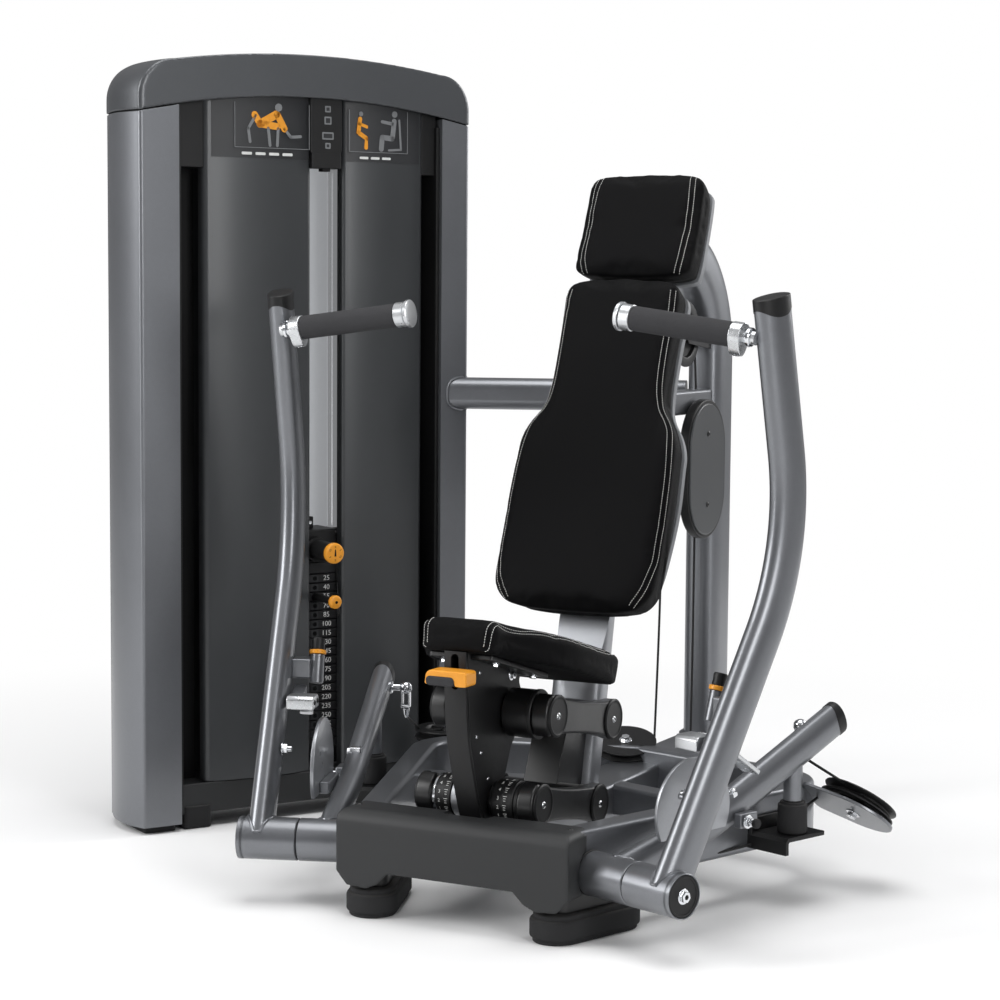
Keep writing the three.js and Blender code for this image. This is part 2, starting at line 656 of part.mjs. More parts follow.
function outerShroud() {
  const x0 = FRONT_POST_L + 0.6, middle = TOWER_L / 2, x1 = TOWER_L - REAR_POST_L - 0.6;
  const plan = [
    [x0, TOWER_DEPTH - 14], [middle, TOWER_DEPTH - 4], [x1, TOWER_DEPTH - 14],
    [x1, TOWER_DEPTH - 10], [middle, TOWER_DEPTH], [x0, TOWER_DEPTH - 10],
  ];
  return slab(plan, SHROUD_Z0, POST_TOP - 6);
}

// Plate between the posts that ties the guide rods
const towerHeadPlate = () => cut(
  box(FRONT_POST_L + 0.4, TOWER_L - REAR_POST_L - 0.4, 60, 140, 1404, 1428),
  ...ROD_XS.map((x) => rodZ(x, STACK_Y, 1390, 1440, ROD_R + 0.5, 16)),
  box(STACK_X - 20, STACK_X + 20, STACK_Y - 24, STACK_Y + 24, 1380, 1450),
);
const guideRod = (x) => rodZ(x, STACK_Y, 88.5, 1425, ROD_R, 16);

addToTower('tower_post_front', towerPost(nosed(FRONT_POST_L), 8, FRONT_POST_L - 10), FRAME_PAINT);
addToTower('tower_post_rear', towerPost(
  endForEnd(nosed(REAR_POST_L)), TOWER_L - REAR_POST_L + 10, TOWER_L - 8), FRAME_PAINT);
addToTower('tower_cap', towerCap(), CAP_GREY);
addToTower('tower_base', towerBase(), MOULDING);
addToTower('shroud_front', innerShroud(144, 380, 12), SHROUD_GREY);
addToTower('shroud_rear', innerShroud(456, 642, 10), SHROUD_GREY);
addToTower('shroud_outer', outerShroud(), SHROUD_GREY);
addToTower('tower_head_plate', towerHeadPlate(), BLACK_STEEL);
addToTower('guide_rod_front', guideRod(ROD_XS[0]), CHROME);
addToTower('guide_rod_rear', guideRod(ROD_XS[1]), CHROME);

// ---------- weight stack ----------
const rodBores = () => ROD_XS.map((x) => rodZ(x, STACK_Y, 0, 1400, ROD_R + 1, 14));

// A run of plates as one solid, grooved at the joints, with a selector hole in each
function weightPlates(bottom, count) {
  const levels = Array.from({ length: count }, (_, i) => bottom + i * PLATE_PITCH);
  const core = box(STACK_X0, STACK_X1, STACK_Y0 + 3, STACK_Y1 - 3,
    bottom, bottom + count * PLATE_PITCH - 0.6);
  const rims = levels.map((z) => (
    box(STACK_X0 - 3, STACK_X1 + 3, STACK_Y0, STACK_Y1, z + 1.4, z + PLATE_PITCH - 2)));
  const selectorHoles = levels.map((z) => (
    rodY(STACK_X, STACK_Y0 - 5, STACK_Y, z + PLATE_PITCH / 2, 5.2, 6)));
  const stemBore = rodZ(STACK_X, STACK_Y, 0, 1400, 13, 14);
  return cut(join(core, ...rims), ...rodBores(), stemBore, ...selectorHoles);
}

const stackHead = () => cut(
  join(
    box(STACK_X0, STACK_X1, STACK_Y0, STACK_Y1, STACK_HEAD_Z, STACK_HEAD_Z + 24),
    box(STACK_X - 62, STACK_X + 62, STACK_Y0 + 4, STACK_Y1 - 4, STACK_HEAD_Z + 20, STACK_HEAD_Z + 92),
    box(STACK_X - 100, STACK_X + 100, STACK_Y - 18, STACK_Y + 18,
      STACK_HEAD_Z + 66, STACK_HEAD_Z + 92),
  ),
  ...rodBores(),
  rodZ(STACK_X, STACK_Y, 0, 591, 11.6, 12),
);

// Two-step knob on the inner face of the stack head
function incrementDial() {
  const z = STACK_HEAD_Z + 52;
  return join(
    rodY(STACK_X, STACK_Y0 + 3.6, STACK_Y0 - 14, z, 27, 24),
    rodY(STACK_X, STACK_Y0 - 13, STACK_Y0 - 94, z, 21, 24),
  );
}

// In the lowest lifted plate
function selectorPin() {
  const z = LIFTED_Z + PLATE_PITCH / 2;
  return join(
    rodY(STACK_X, STACK_Y0 - 90, STACK_Y - 14, z, 4.2, 8),
    rodY(STACK_X, STACK_Y0 - 4, STACK_Y0 - 88, z, 9, 12),
    rodY(STACK_X, STACK_Y0 - 86, STACK_Y0 - 100, z, 14, 18),
  );
}

const stackBelt = () => (
  box(STACK_X - 13, STACK_X + 13, STACK_Y - 2, STACK_Y + 2, STACK_HEAD_Z + 92.6, 1440));

addToTower('weight_plates_resting', weightPlates(STACK_Z0, RESTING_PLATES), BLACK_STEEL);
addToTower('stack_stem', rodZ(STACK_X, STACK_Y, 150, 590, 11, 12), CHROME);
addToTower('weight_plates_lifted', weightPlates(LIFTED_Z, LIFTED_PLATES), BLACK_STEEL);
addToTower('stack_head', stackHead(), BLACK_STEEL);
addToTower('increment_dial', incrementDial(), ORANGE);
addToTower('selector_pin', selectorPin(), ORANGE);
addToTower('stack_belt', stackBelt(), RUBBER);

// ---------- cross beam from the tower to the rear column ----------
function crossBeam() {
  const path = [vec(-541.6, 939.9, 873), vec(0, COLUMN_Y, 873)];
  const column = sweep(
    superellipse(COLUMN_WIDTH + 1.2, COLUMN_DEPTH + 1.2, 20, 3.2),
    [vec(0, COLUMN_Y, 700), vec(0, COLUMN_Y, 1000)],
    X_AXIS,
  );
  const post = slab(endForEnd(nosed(120, 0.8)), 700, 1000, towerFrame);
  return largest(cut(sweep(centredRect(66, 72, 22, 3), path, Z_AXIS), column, post));
}
add('cross_beam', crossBeam(), FRAME_PAINT);

// ---------- pulleys ----------
// Profiles: radius, distance along the axle
const COLUMN_PULLEY = [
  [0, -12], [58, -12], [66, -11], [66, -8], [54, 0], [66, 8], [66, 11], [58, 12], [0, 12],
];
const CABLE_PULLEY = [
  [0, -16.4], [10, -16.4], [10, -11], [66, -11], [72, -10], [72, -7],
  [60, 0], [72, 7], [72, 10], [66, 11], [0, 11],
];
function pulley(profile, centre, axis) {
  const points = profile.map(([radius, y]) => new THREE.Vector2(radius, y));
  return solid(new THREE.LatheGeometry(points, 18), axisFrame(centre, axis));
}
add('column_pulley', pulley(COLUMN_PULLEY, vec(0, 965, 1005), X_AXIS), MOULDING);

function pulleyGuard() {
  const radius = 100, y = 985, z = 732, halfStraight = 45;
  return slabX([
    ...arc(y, z + halfStraight, radius, radius, 0, 180, 8),
    ...arc(y, z - halfStraight, radius, radius, 180, 360, 8),
  ], 42, 62);
}
add('pulley_guard', pulleyGuard(), SHROUD_GREY);

for (const side of SIDES) {
  add(`cable_pulley_${side.side}`, pulley(CABLE_PULLEY, side.pulley, side.axis), MOULDING);
}

// ---------- bumpers ----------
for (const { side, sign } of SIDES) {
  const { x, y } = sidePoint(sign, LEVER_X, BUMPER_Y);
  const bumper = join(rodZ(x, y, 127.4, 176, 27, 24), rodZ(x, y, 175.5, 183, 24, 24));
  add(`bumper_${side}`, bumper, RUBBER);
}

// ---------- seat linkage ----------
// Outline (Y, Z) of a link plate: round ends and a narrower waist
function dogbone([rearY, rearZ], [frontY, frontZ]) {
  const waist = LINK_R * 0.62, shoulder = LINK_R * 0.9, overlap = LINK_R * 0.43;
  const cutback = 0.45 / DEGREE;   // taken off each end of the half circles
  const length = Math.hypot(frontY - rearY, frontZ - rearZ);
  const angle = Math.atan2(frontZ - rearZ, frontY - rearY);
  const cos = Math.cos(angle), sin = Math.sin(angle);
  const edge = [1, 2, 3, 4, 5].map((i) => {
    const part = i / 6;
    const height = shoulder + (waist - shoulder) * Math.sin(Math.PI * part) ** 0.7;
    return [-overlap + (length + 2 * overlap) * part, height];
  });
  return [
    ...arc(0, 0, LINK_R, LINK_R, 90 + cutback, 270 - cutback, 6),
    ...edge.map(([x, y]) => [x, -y]),
    ...arc(length, 0, LINK_R, LINK_R, -90 + cutback, 90 - cutback, 6),
    ...edge.reverse(),
  ].map(([x, y]) => [rearY + x * cos - y * sin, rearZ + x * sin + y * cos]);
}

// Pair of link plates with the front tube, rear pins and end discs
function seatLink(rear, front, tubeRadius) {
  const ends = [1, -1].flatMap((sign) => [
    rodX(sign * 50, sign * 116, rear, 10, 14),
    rodX(sign * 114, sign * 119, rear, LINK_R - 6, 16),
    rodX(sign * 114, sign * 119, front, LINK_R - 6, 16),
  ]);
  return join(plates(dogbone(rear, front), 83, 115), rodX(-86, 86, front, tubeRadius, 18), ...ends);
}
add('seat_link_upper', seatLink(UPPER_REAR, UPPER_FRONT, UPPER_TUBE_R), BLACK_STEEL);
add('seat_link_lower', seatLink(LOWER_REAR, LOWER_FRONT, LOWER_TUBE_R), BLACK_STEEL);

// Two side plates around the front tubes, a curved front plate and the bracket under the seat
function seatCarriage() {
  // Outlines (Y, Z)
  const sidePlate = [
    [20, 520], [18, 430], [26, 340], [44, 270], [66, 210], [84, 172], [128, 166], [152, 185],
    [150, 230], [178, 292], [215, 330], [225, 372], [205, 410], [240, 430], [250, 452], [120, 520],
  ];
  const frontPlate = [
    [10, 520], [8, 430], [16, 338], [36, 264], [58, 204], [78, 160],
    [90, 163], [70, 210], [48, 268], [28, 341], [20, 430], [22, 520],
  ];
  const bracketTop = -58.6, clearance = 1.4;
  const body = join(
    plates(sidePlate, 14, 21),
    slabX(frontPlate, -21, 21),
    box(-62, 62, 12, 236, -67, bracketTop, padFrame(SEAT)),
  );
  return largest(cut(
    body,
    box(-300, 300, -200, 600, bracketTop, 200, padFrame(SEAT)),
    box(-8, 8, 0, 40, 410, 470),                // slot in the front plate
    rodX(-60, 60, LOWER_FRONT, LOWER_TUBE_R + clearance, 18),
    rodX(-60, 60, UPPER_FRONT, UPPER_TUBE_R + clearance, 18),
  ));
}
add('seat_carriage', seatCarriage(), SHROUD_GREY);

function seatPad() {
  // Half outline: x from the centre, y rearward along the seat
  const half = [
    [0, -20], [60, -18], [76, -4], [82, 30], [120, 90],
    [146, 160], [154, 260], [150, 340], [130, 372], [0, 380],
  ];
  const top = half.map(([x, y]) => [x * 0.95, 180 + (y - 180) * 0.96]);
  return join(
    slab(mirrored(half), -58, -12, padFrame(SEAT)),
    slab(mirrored(top), -13, 0, padFrame(SEAT)),
  );
}
add('seat_pad', seatPad(), UPHOLSTERY);

// Release handle on the front plate
const seatRelease = () => slabX(
  [[7.4, 452], [7.4, 430], [-22, 428], [-34, 436], [-34, 446], [-22, 454]], -38, 44);
add('seat_release', seatRelease(), ORANGE);

// ---------- base frame ----------
// Level tube with rounded corners along a path drawn at Z = 0
const tube = (path, z0, z1, halfWidth, corner) => (
  sweep(roundRect(z0, z1, -halfWidth, halfWidth, corner, 1), path, Z_AXIS));

function sideRail(sign) {
  const front = sidePoint(sign, RAIL_X, -62), corner = sidePoint(sign, RAIL_X, 640);
  const path = bend(front, corner, vec(0, 800, 0), 95, 5);
  return tube(path, RAIL_Z0, RAIL_Z1, RAIL_WIDTH / 2, 9);
}

// Shelf under the lever that carries the bumper
function bumperShelf(sign) {
  const x0 = -218, x1 = -124;
  return join(
    sideBox(sign, x0, x1, 405, 500, 118, 127),
    sideBox(sign, x0, x1, 405, 413, 92, 124),
    sideBox(sign, x0 - 3, x0 + 12, 400, 505, 95, 150),
  );
}

// Straight tongue from the left rail, running into an oval plate under the left cable pulley
function leftPulleyTongue() {
  const { pulley: centre, axis } = LEFT;
  const plateCentre = along(centre, axis)(-23);
  const reach = plateCentre.clone().sub(sidePoint(1, RAIL_X + 10, 575, 150));
  reach.addScaledVector(axis, -reach.dot(axis));
  const length = reach.length(), direction = reach.clone().normalize();
  const frame = basis(direction, axis.clone().cross(direction), axis)
    .setPosition(plateCentre.clone().sub(reach));
  const outline = [
    [-5, -32], [length - 70, -60],
    ...arc(length - 8, 0, 86, 66, -90, 90, 12),
    [length - 70, 60], [-5, 32],
  ];
  return slab(outline, 0, 6, frame);
}

// Members that run out to the tower, trimmed at its inner face
function towerMembers() {
  const start = vec(-430, 831, 0);
  return cut(
    join(
      tube([vec(-150, 745, 0), vec(-530, 862, 0)], 96, 160, 30, 8),
      tube([start, vec(-600, 883, 0)], 46, 88, 30, 6),
      tube([start, vec(-505, 854, 0)], 80, 120, 30, 6),
    ),
    box(-100, 900, -1, 400, 89, 300, towerFrame),
    box(-100, 900, 21.5, 400, 0, 300, towerFrame),
  );
}

function baseFrame() {
  const sideMembers = [1, -1].flatMap((sign) => [
    sideRail(sign),
    tube([vec(0, 590, 0), vec(sign * 365, 470, 0)], 100, 158, 25, 8),
    slab(centredRect(56, 150, 20, 2), 50.4, 95.4, legFrame(sign)),
    bumperShelf(sign),
  ]);
  return join(
    ...sideMembers,
    box(-175, 175, 16, 66, 96, 168),            // front crossmember
    box(-50, 50, 40, 1185, 90, 160),            // centre beam
    box(-48, 48, 1080, 1180, 42.4, 95),         // block on the rear foot
    towerMembers(),
    leftPulleyTongue(),
    rodZ(RIGHT.pulley.x, RIGHT.pulley.y, 150, 158, 58, 24),   // disc under the right cable pulley
  );
}
add('base_frame', baseFrame(), FRAME_PAINT);

// ---------- origin to the centre of the footprint box on the floor ----------
machine.updateMatrixWorld(true);
const bounds = new THREE.Box3().setFromObject(machine, true);
const centre = bounds.getCenter(vec(0, 0, 0));
machine.position.set(-centre.x, -centre.y, -bounds.min.z);
machine.updateMatrixWorld(true);

export default machine;
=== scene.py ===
"""A seated press machine: weight-stack tower, base frame, two swinging press arms, pads and seat.

Lengths are millimetres. X runs to the sitter's left, -Y is the way the sitter faces, Z is up and
X = 0 is the seat centre plane. Piece.make turns millimetres into metres and shifts the machine
to its place in the row.
"""
import json
from math import acos, atan2, copysign, cos, hypot, pi, radians, sin, sqrt, tan

import bmesh
import bpy
import numpy as np
from mathutils import Matrix, Vector
from mathutils.bvhtree import BVHTree


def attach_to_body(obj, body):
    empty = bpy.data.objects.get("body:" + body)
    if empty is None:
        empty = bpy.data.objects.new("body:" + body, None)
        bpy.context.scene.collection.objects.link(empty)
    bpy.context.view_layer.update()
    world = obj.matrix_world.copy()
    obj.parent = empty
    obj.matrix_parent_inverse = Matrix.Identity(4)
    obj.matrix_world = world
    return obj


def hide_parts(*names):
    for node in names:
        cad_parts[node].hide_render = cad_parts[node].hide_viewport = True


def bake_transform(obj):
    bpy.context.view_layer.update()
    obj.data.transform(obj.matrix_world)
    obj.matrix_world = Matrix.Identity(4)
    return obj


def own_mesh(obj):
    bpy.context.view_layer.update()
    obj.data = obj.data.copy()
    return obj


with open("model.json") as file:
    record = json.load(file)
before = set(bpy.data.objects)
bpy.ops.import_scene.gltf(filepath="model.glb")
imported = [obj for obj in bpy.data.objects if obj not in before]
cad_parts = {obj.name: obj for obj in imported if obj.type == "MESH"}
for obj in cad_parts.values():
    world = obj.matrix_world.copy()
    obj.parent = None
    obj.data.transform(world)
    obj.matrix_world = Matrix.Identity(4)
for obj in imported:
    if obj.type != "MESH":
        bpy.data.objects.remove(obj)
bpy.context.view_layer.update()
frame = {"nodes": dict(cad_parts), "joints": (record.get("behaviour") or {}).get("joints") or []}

JOINTS = {joint["name"]: joint for joint in reversed(list(frame["joints"]))}
SIDES = ((1, "left"), (-1, "right"))
UP = (0, 0, 1)

# ---------------------------------------------------------------- frames
PIVOT_X, PIVOT_Z = 430, 115      # press pivot
TOE = radians(20)                # turn of each press side about the vertical
_pivot = JOINTS["press_left"]["pos_m"]
SHIFT = Vector((_pivot[0] - PIVOT_X / 1000, _pivot[1], _pivot[2] - PIVOT_Z / 1000))
TO_ROW = Matrix.Translation(SHIFT) @ Matrix.Scale(0.001, 4)


def to_row(p):
    return Vector((p[0] * 0.001, p[1] * 0.001, p[2] * 0.001)) + SHIFT


def shift(x, y, z):
    return Matrix.Translation((x, y, z))


def turn(angle):
    return Matrix.Rotation(angle, 4, "Z")


def axes(ex, ey, ez, origin=(0, 0, 0)):
    """Frame with the given axes."""
    ex, ey, ez = Vector(ex), Vector(ey), Vector(ez)
    rows = [(ex[i], ey[i], ez[i], origin[i]) for i in range(3)]
    return Matrix((*rows, (0, 0, 0, 1)))


def facing(point, direction):
    """Frame at a point with its z axis along direction."""
    direction = Vector(direction).normalized()
    first = direction.orthogonal().normalized()
    return axes(first, direction.cross(first), direction, Vector(point))


SIDEWAYS = axes((0, 1, 0), (0, 0, 1), (1, 0, 0))       # outline in (Y, Z), depth along X
UPRIGHT = axes((1, 0, 0), (0, 0, 1), (0, -1, 0))       # outline in (X, Z), depth along -Y
# Tower: x runs from the front post to the rear one, y away from the seat.
TOWER = shift(-876, 320, 0) @ turn(atan2(852.6, 522.5))
TOWER_INVERSE = TOWER.inverted()


def press_frame(side):
    """Frame at a press pivot; x points outward on both sides."""
    return shift(side * PIVOT_X, 0, PIVOT_Z) @ turn(-side * TOE) @ Matrix.Diagonal((side, 1, 1, 1))


def side_point(side, x, y, z=0.0):
    """Machine point from x, y of a press frame and a height above the floor."""
    return Vector((side * (PIVOT_X + x * cos(TOE) + y * sin(TOE)), -x * sin(TOE) + y * cos(TOE), z))


# ---------------------------------------------------------------- outlines
def arc(cx, cy, radius, start, end, steps):
    """Points of an arc; angles in degrees."""
    angles = [radians(start + (end - start) * i / steps) for i in range(steps + 1)]
    return [(cx + radius * cos(a), cy + radius * sin(a)) for a in angles]


def superellipse(width, height, count, power=2.25):
    points = []
    for i in range(count):
        c, s = cos(2 * pi * i / count), sin(2 * pi * i / count)
        points.append((width / 2 * copysign(abs(c) ** (2 / power), c),
                       height / 2 * copysign(abs(s) ** (2 / power), s)))
    return points


def rect(x0, x1, y0, y1, radius, steps=6):
    """Rectangle with rounded corners."""
    return (arc(x1 - radius, y1 - radius, radius, 0, 90, steps)
            + arc(x0 + radius, y1 - radius, radius, 90, 180, steps)
            + arc(x0 + radius, y0 + radius, radius, 180, 270, steps)
            + arc(x1 - radius, y0 + radius, radius, 270, 360, steps))


def circle(radius, count, cx=0.0, cy=0.0):
    angles = [2 * pi * i / count for i in range(count)]
    return [(cx + radius * cos(a), cy + radius * sin(a)) for a in angles]


def capsule(x0, x1, y, radius, steps=12):
    return arc(x1, y, radius, -90, 90, steps) + arc(x0, y, radius, 90, 270, steps)


def moved(outline, dx, dy):
    return [(x + dx, y + dy) for x, y in outline]


def signed_area(outline):
    pairs = zip(outline, outline[1:] + outline[:1])
    return sum(x0 * y1 - x1 * y0 for (x0, y0), (x1, y1) in pairs) / 2


def offset(outline, distance):
    """Moves a closed outline inward."""
    if signed_area(outline) < 0:
        distance = -distance
    result = []
    for i, here in enumerate(outline):
        before, after = outline[i - 1], outline[(i + 1) % len(outline)]
        edge_in = Vector((here[0] - before[0], here[1] - before[1]))
        edge_out = Vector((after[0] - here[0], after[1] - here[1]))
        if edge_in.length < 1e-9 or edge_out.length < 1e-9:
            result.append(here)
            continue
        edge_in.normalize()
        edge_out.normalize()
        normal = Vector((-edge_in.y, edge_in.x))
        mitre = normal + Vector((-edge_out.y, edge_out.x))
        if mitre.length < 1e-6:
            mitre = normal
        mitre.normalize()
        reach = distance / max(0.45, mitre.dot(normal))
        result.append((here[0] + mitre.x * reach, here[1] + mitre.y * reach))
    return result


def round_corners(points, radii, steps=5):
    """Rounds the corners of a closed polygon. radii is one radius or one for each corner."""
    result = []
    for i, point in enumerate(points):
        corner = Vector(point)
        radius = radii[i] if isinstance(radii, list) else radii
        back = Vector(points[i - 1]) - corner
        ahead = Vector(points[(i + 1) % len(points)]) - corner
        room = min(back.length * 0.49, ahead.length * 0.49)
        back.normalize()
        ahead.normalize()
        angle = acos(max(-1, min(1, back.dot(ahead))))
        if radius <= 0 or angle > pi - 0.02:
            result.append(tuple(corner))
            continue
        trim = min(radius / tan(angle / 2), room)
        radius = trim * tan(angle / 2)
        centre = corner + (back + ahead).normalized() * (radius / sin(angle / 2))
        first, last = corner + back * trim - centre, corner + ahead * trim - centre
        start = atan2(first.y, first.x)
        sweep = atan2(last.y, last.x) - start
        while sweep > pi:
            sweep -= 2 * pi
        while sweep < -pi:
            sweep += 2 * pi
        for k in range(steps + 1):
            a = start + sweep * k / steps
            result.append((centre.x + radius * cos(a), centre.y + radius * sin(a)))
    return result


def spline(points, per=6):
    """Open Catmull-Rom curve through points of any dimension."""
    P = [np.array(p, float) for p in points]
    result = []
    for i in range(len(P) - 1):
        a, b, c, d = P[max(0, i - 1)], P[i], P[i + 1], P[min(len(P) - 1, i + 2)]
        for k in range(per):
            t = k / per
            result.append(tuple(0.5 * ((2 * b) + (c - a) * t + (2 * a - 5 * b + 4 * c - d) * t * t
                                       + (3 * b - 3 * c + d - a) * t ** 3)))
    result.append(tuple(P[-1]))
    return result


def fillet(start, corner, end, radius, steps):
    """Path of two straight runs joined by an arc."""
    start, corner, end = Vector(start), Vector(corner), Vector(end)
    back, ahead = (start - corner).normalized(), (end - corner).normalized()
    half = acos(max(-1, min(1, back.dot(ahead)))) / 2
    trim = radius / tan(half)
    centre = corner + (back + ahead).normalized() * (radius / sin(half))
    first, last = corner + back * trim - centre, corner + ahead * trim - centre
    sweep, axis = first.angle(last), first.cross(last).normalized()
    bend = [Matrix.Rotation(sweep * k / steps, 3, axis) @ first + centre for k in range(steps + 1)]
    return [start, *bend, end]


def tangent(path, i):
    """Unit direction of an open path at point i, between its two neighbouring edges."""
    direction = Vector([0] * len(path[i]))
    if i > 0:
        direction += (path[i] - path[i - 1]).normalized()
    if i < len(path) - 1:
        direction += (path[i + 1] - path[i]).normalized()
    return direction.normalized()


def strip(centre_line, thickness):
    """Closed outline of a bent sheet along an open centre line."""
    path = [Vector(p) for p in centre_line]
    left, right = [], []
    for i, p in enumerate(path):
        along = tangent(path, i)
        half = Vector((-along.y, along.x)) * (thickness / 2)
        left.append(tuple(p + half))
        right.append(tuple(p - half))
    return left + right[::-1]


def resample(points, step):
    path = [Vector(p) for p in points]
    run = [0.0]
    for before, after in zip(path, path[1:]):
        run.append(run[-1] + (after - before).length)
    count = max(1, int(run[-1] / step))
    result, j = [], 0
    for k in range(count + 1):
        s = run[-1] * k / count
        while j < len(run) - 2 and run[j + 1] < s:
            j += 1
        f = (s - run[j]) / max(1e-9, run[j + 1] - run[j])
        result.append(path[j].lerp(path[j + 1], min(1, max(0, f))))
    return result


def cross_axes(along, across):
    """The part of across square to along, and the third axis."""
    first = (across - along * across.dot(along)).normalized()
    return first, along.cross(first)


def sweep_rings(section, path, across):
    """The section at each point of a path, its x kept towards across."""
    path = [Vector(p) for p in path]
    rings = []
    for i, p in enumerate(path):
        first, second = cross_axes(tangent(path, i), Vector(across))
        rings.append([p + first * x + second * y for x, y in section])
    return rings


# ---------------------------------------------------------------- pieces
MATERIALS = {}
_text_cache = {}


def build_object(name, verts, faces, materials=(), indices=(), triangulate=False):
    mesh = bpy.data.meshes.new(name)
    mesh.from_pydata([to_row(p) for p in verts], [], faces)
    for material in materials:
        mesh.materials.append(MATERIALS[material])
    if materials:
        mesh.polygons.foreach_set("material_index", indices)
    bm = bmesh.new()
    bm.from_mesh(mesh)
    bmesh.ops.recalc_face_normals(bm, faces=bm.faces)
    if triangulate:
        bmesh.ops.triangulate(bm, faces=bm.faces)
    bm.to_mesh(mesh)
    bm.free()
    ob = bpy.data.objects.new(name, mesh)
    bpy.context.scene.collection.objects.link(ob)
    return ob


class Piece:
    """Collects closed shapes, in millimetres in a local frame, and makes one object of them."""

    def __init__(self, frame_of_piece=Matrix.Identity(4)):
        self.frame = frame_of_piece.copy()
        self.verts, self.faces, self.indices, self.materials, self.current = [], [], [], [], 0

    def use(self, material):
        if material not in self.materials:
            self.materials.append(material)
        self.current = self.materials.index(material)
        return self

    def put(self, verts, faces, place=None):
        matrix = self.frame @ place if place is not None else self.frame
        first = len(self.verts)
        self.verts += [tuple(matrix @ Vector(p)) for p in verts]
        self.faces += [tuple(i + first for i in face) for face in faces]
        self.indices += [self.current] * len(faces)
        return self

    def loft(self, rings, place=None, closed=False):
        n, m = len(rings[0]), len(rings)
        verts = [p for ring in rings for p in ring]
        faces = []
        for k in range(m if closed else m - 1):
            a, b = k * n, ((k + 1) % m) * n
            for i in range(n):
                j = (i + 1) % n
                faces.append((a + i, a + j, b + j, b + i))
        if not closed:
            faces.append(tuple(range(n))[::-1])
            faces.append(tuple((m - 1) * n + i for i in range(n)))
        return self.put(verts, faces, place)

    def prism(self, outline, z0, z1, place=None, bevel=1.5, steps=3, top_bevel=None):
        """Outline raised from z0 to z1, with rounded edges."""
        if signed_area(outline) < 0:
            outline = outline[::-1]
        top_bevel = bevel if top_bevel is None else top_bevel
        rings = []

        def ring(inset, z):
            edge = offset(outline, inset) if inset > 1e-9 else outline
            rings.append([(x, y, z) for x, y in edge])

        for size, z, sign, order in ((bevel, z0, 1, range(steps + 1)),
                                     (top_bevel, z1, -1, range(steps, -1, -1))):
            if size <= 0:
                ring(0, z)
                continue
            for k in order:
                a = pi / 2 * k / steps
                ring(size * (1 - sin(a)), z + sign * size * (1 - cos(a)))
        return self.loft(rings, place)

    def prism_x(self, outline, x0, x1, **edges):
        """Outline in (Y, Z) from x0 to x1."""
        return self.prism(outline, x0, x1, SIDEWAYS, **edges)

    def prism_y(self, outline, y0, y1, **edges):
        """Outline in (X, Z) from y0 to y1."""
        return self.prism(outline, -y1, -y0, UPRIGHT, **edges)

    def box(self, x0, x1, y0, y1, z0, z1, place=None, bevel=1.2, radius=None):
        radius = bevel if radius is None else radius
        return self.prism(rect(x0, x1, y0, y1, radius, 3), z0, z1, place, bevel)

    def lathe(self, profile, origin, direction, sides=48, place=None):
        """Turned shape. profile holds (distance along direction, radius)."""
        origin, direction = Vector(origin), Vector(direction).normalized()
        u = direction.orthogonal().normalized()
        w = direction.cross(u)
        verts, faces, before = [], [], None
        for t, radius in profile:
            start = len(verts)
            if radius < 1e-6:
                verts.append(origin + direction * t)
            else:
                for i in range(sides):
                    a = 2 * pi * i / sides
                    verts.append(origin + direction * t + u * (radius * cos(a)) + w * (radius * sin(a)))
            now = (start, len(verts) - start)
            if before is not None:
                (a0, count0), (b0, count1) = before, now
                for i in range(sides):
                    j = (i + 1) % sides
                    if count0 == 1 and count1 == 1:
                        break
                    if count0 == 1:
                        faces.append((a0, b0 + j, b0 + i))
                    elif count1 == 1:
                        faces.append((a0 + i, a0 + j, b0))
                    else:
                        faces.append((a0 + i, a0 + j, b0 + j, b0 + i))
            before = now
        return self.put(verts, faces, place)

    def cyl(self, start, end, radius, bevel=1.0, sides=40):
        start, end = Vector(start), Vector(end)
        length = (end - start).length
        e = min(bevel, radius * 0.6, length * 0.4)
        half = [(0, radius - e), (e * 0.29, radius - e * 0.29), (e, radius)]
        profile = [(0, 0), *half, *[(length - t, r) for t, r in half[::-1]], (length, 0)]
        return self.lathe(profile, start, end - start, sides)

    def tube(self, start, end, outer, inner, bevel=1.0, sides=40):
        start, end = Vector(start), Vector(end)
        length, e = (end - start).length, bevel
        profile = [(e, inner), (0, inner + e), (0, outer - e), (e, outer), (length - e, outer),
                   (length, outer - e), (length, inner + e), (length - e, inner), (e, inner)]
        return self.lathe(profile, start, end - start, sides)

    def sweep(self, section, path, across):
        return self.loft(sweep_rings(section, path, across))

    def rope(self, points, radii, sides, closed):
        """Round section along points, one radius for each."""
        path = [Vector(p) for p in points]
        last = len(path) - 1
        rings, normal = [], None
        for i, p in enumerate(path):
            before = path[i - 1] if i or closed else p
            after = path[(i + 1) % len(path)] if i < last or closed else p
            along = (after - before).normalized()
            normal = along.orthogonal().normalized() if normal is None else normal
            normal, second = cross_axes(along, normal)
            angles = [2 * pi * k / sides for k in range(sides)]
            rings.append([p + normal * (radii[i] * cos(a)) + second * (radii[i] * sin(a))
                          for a in angles])
        return self.loft(rings, closed=closed)

    def wire(self, points, radius, sides, smooth=6):
        points = spline(points, smooth) if smooth else points
        return self.rope(points, [radius] * len(points), sides, False)

    def bead(self, points, radius, sides=8):
        """Weld bead: a closed ripple along a ring of points."""
        ripple = [radius * (1 + 0.10 * cos(pi * i) + 0.05 * sin(i * 1.7))
                  for i in range(len(points))]
        return self.rope(points, ripple, sides, True)

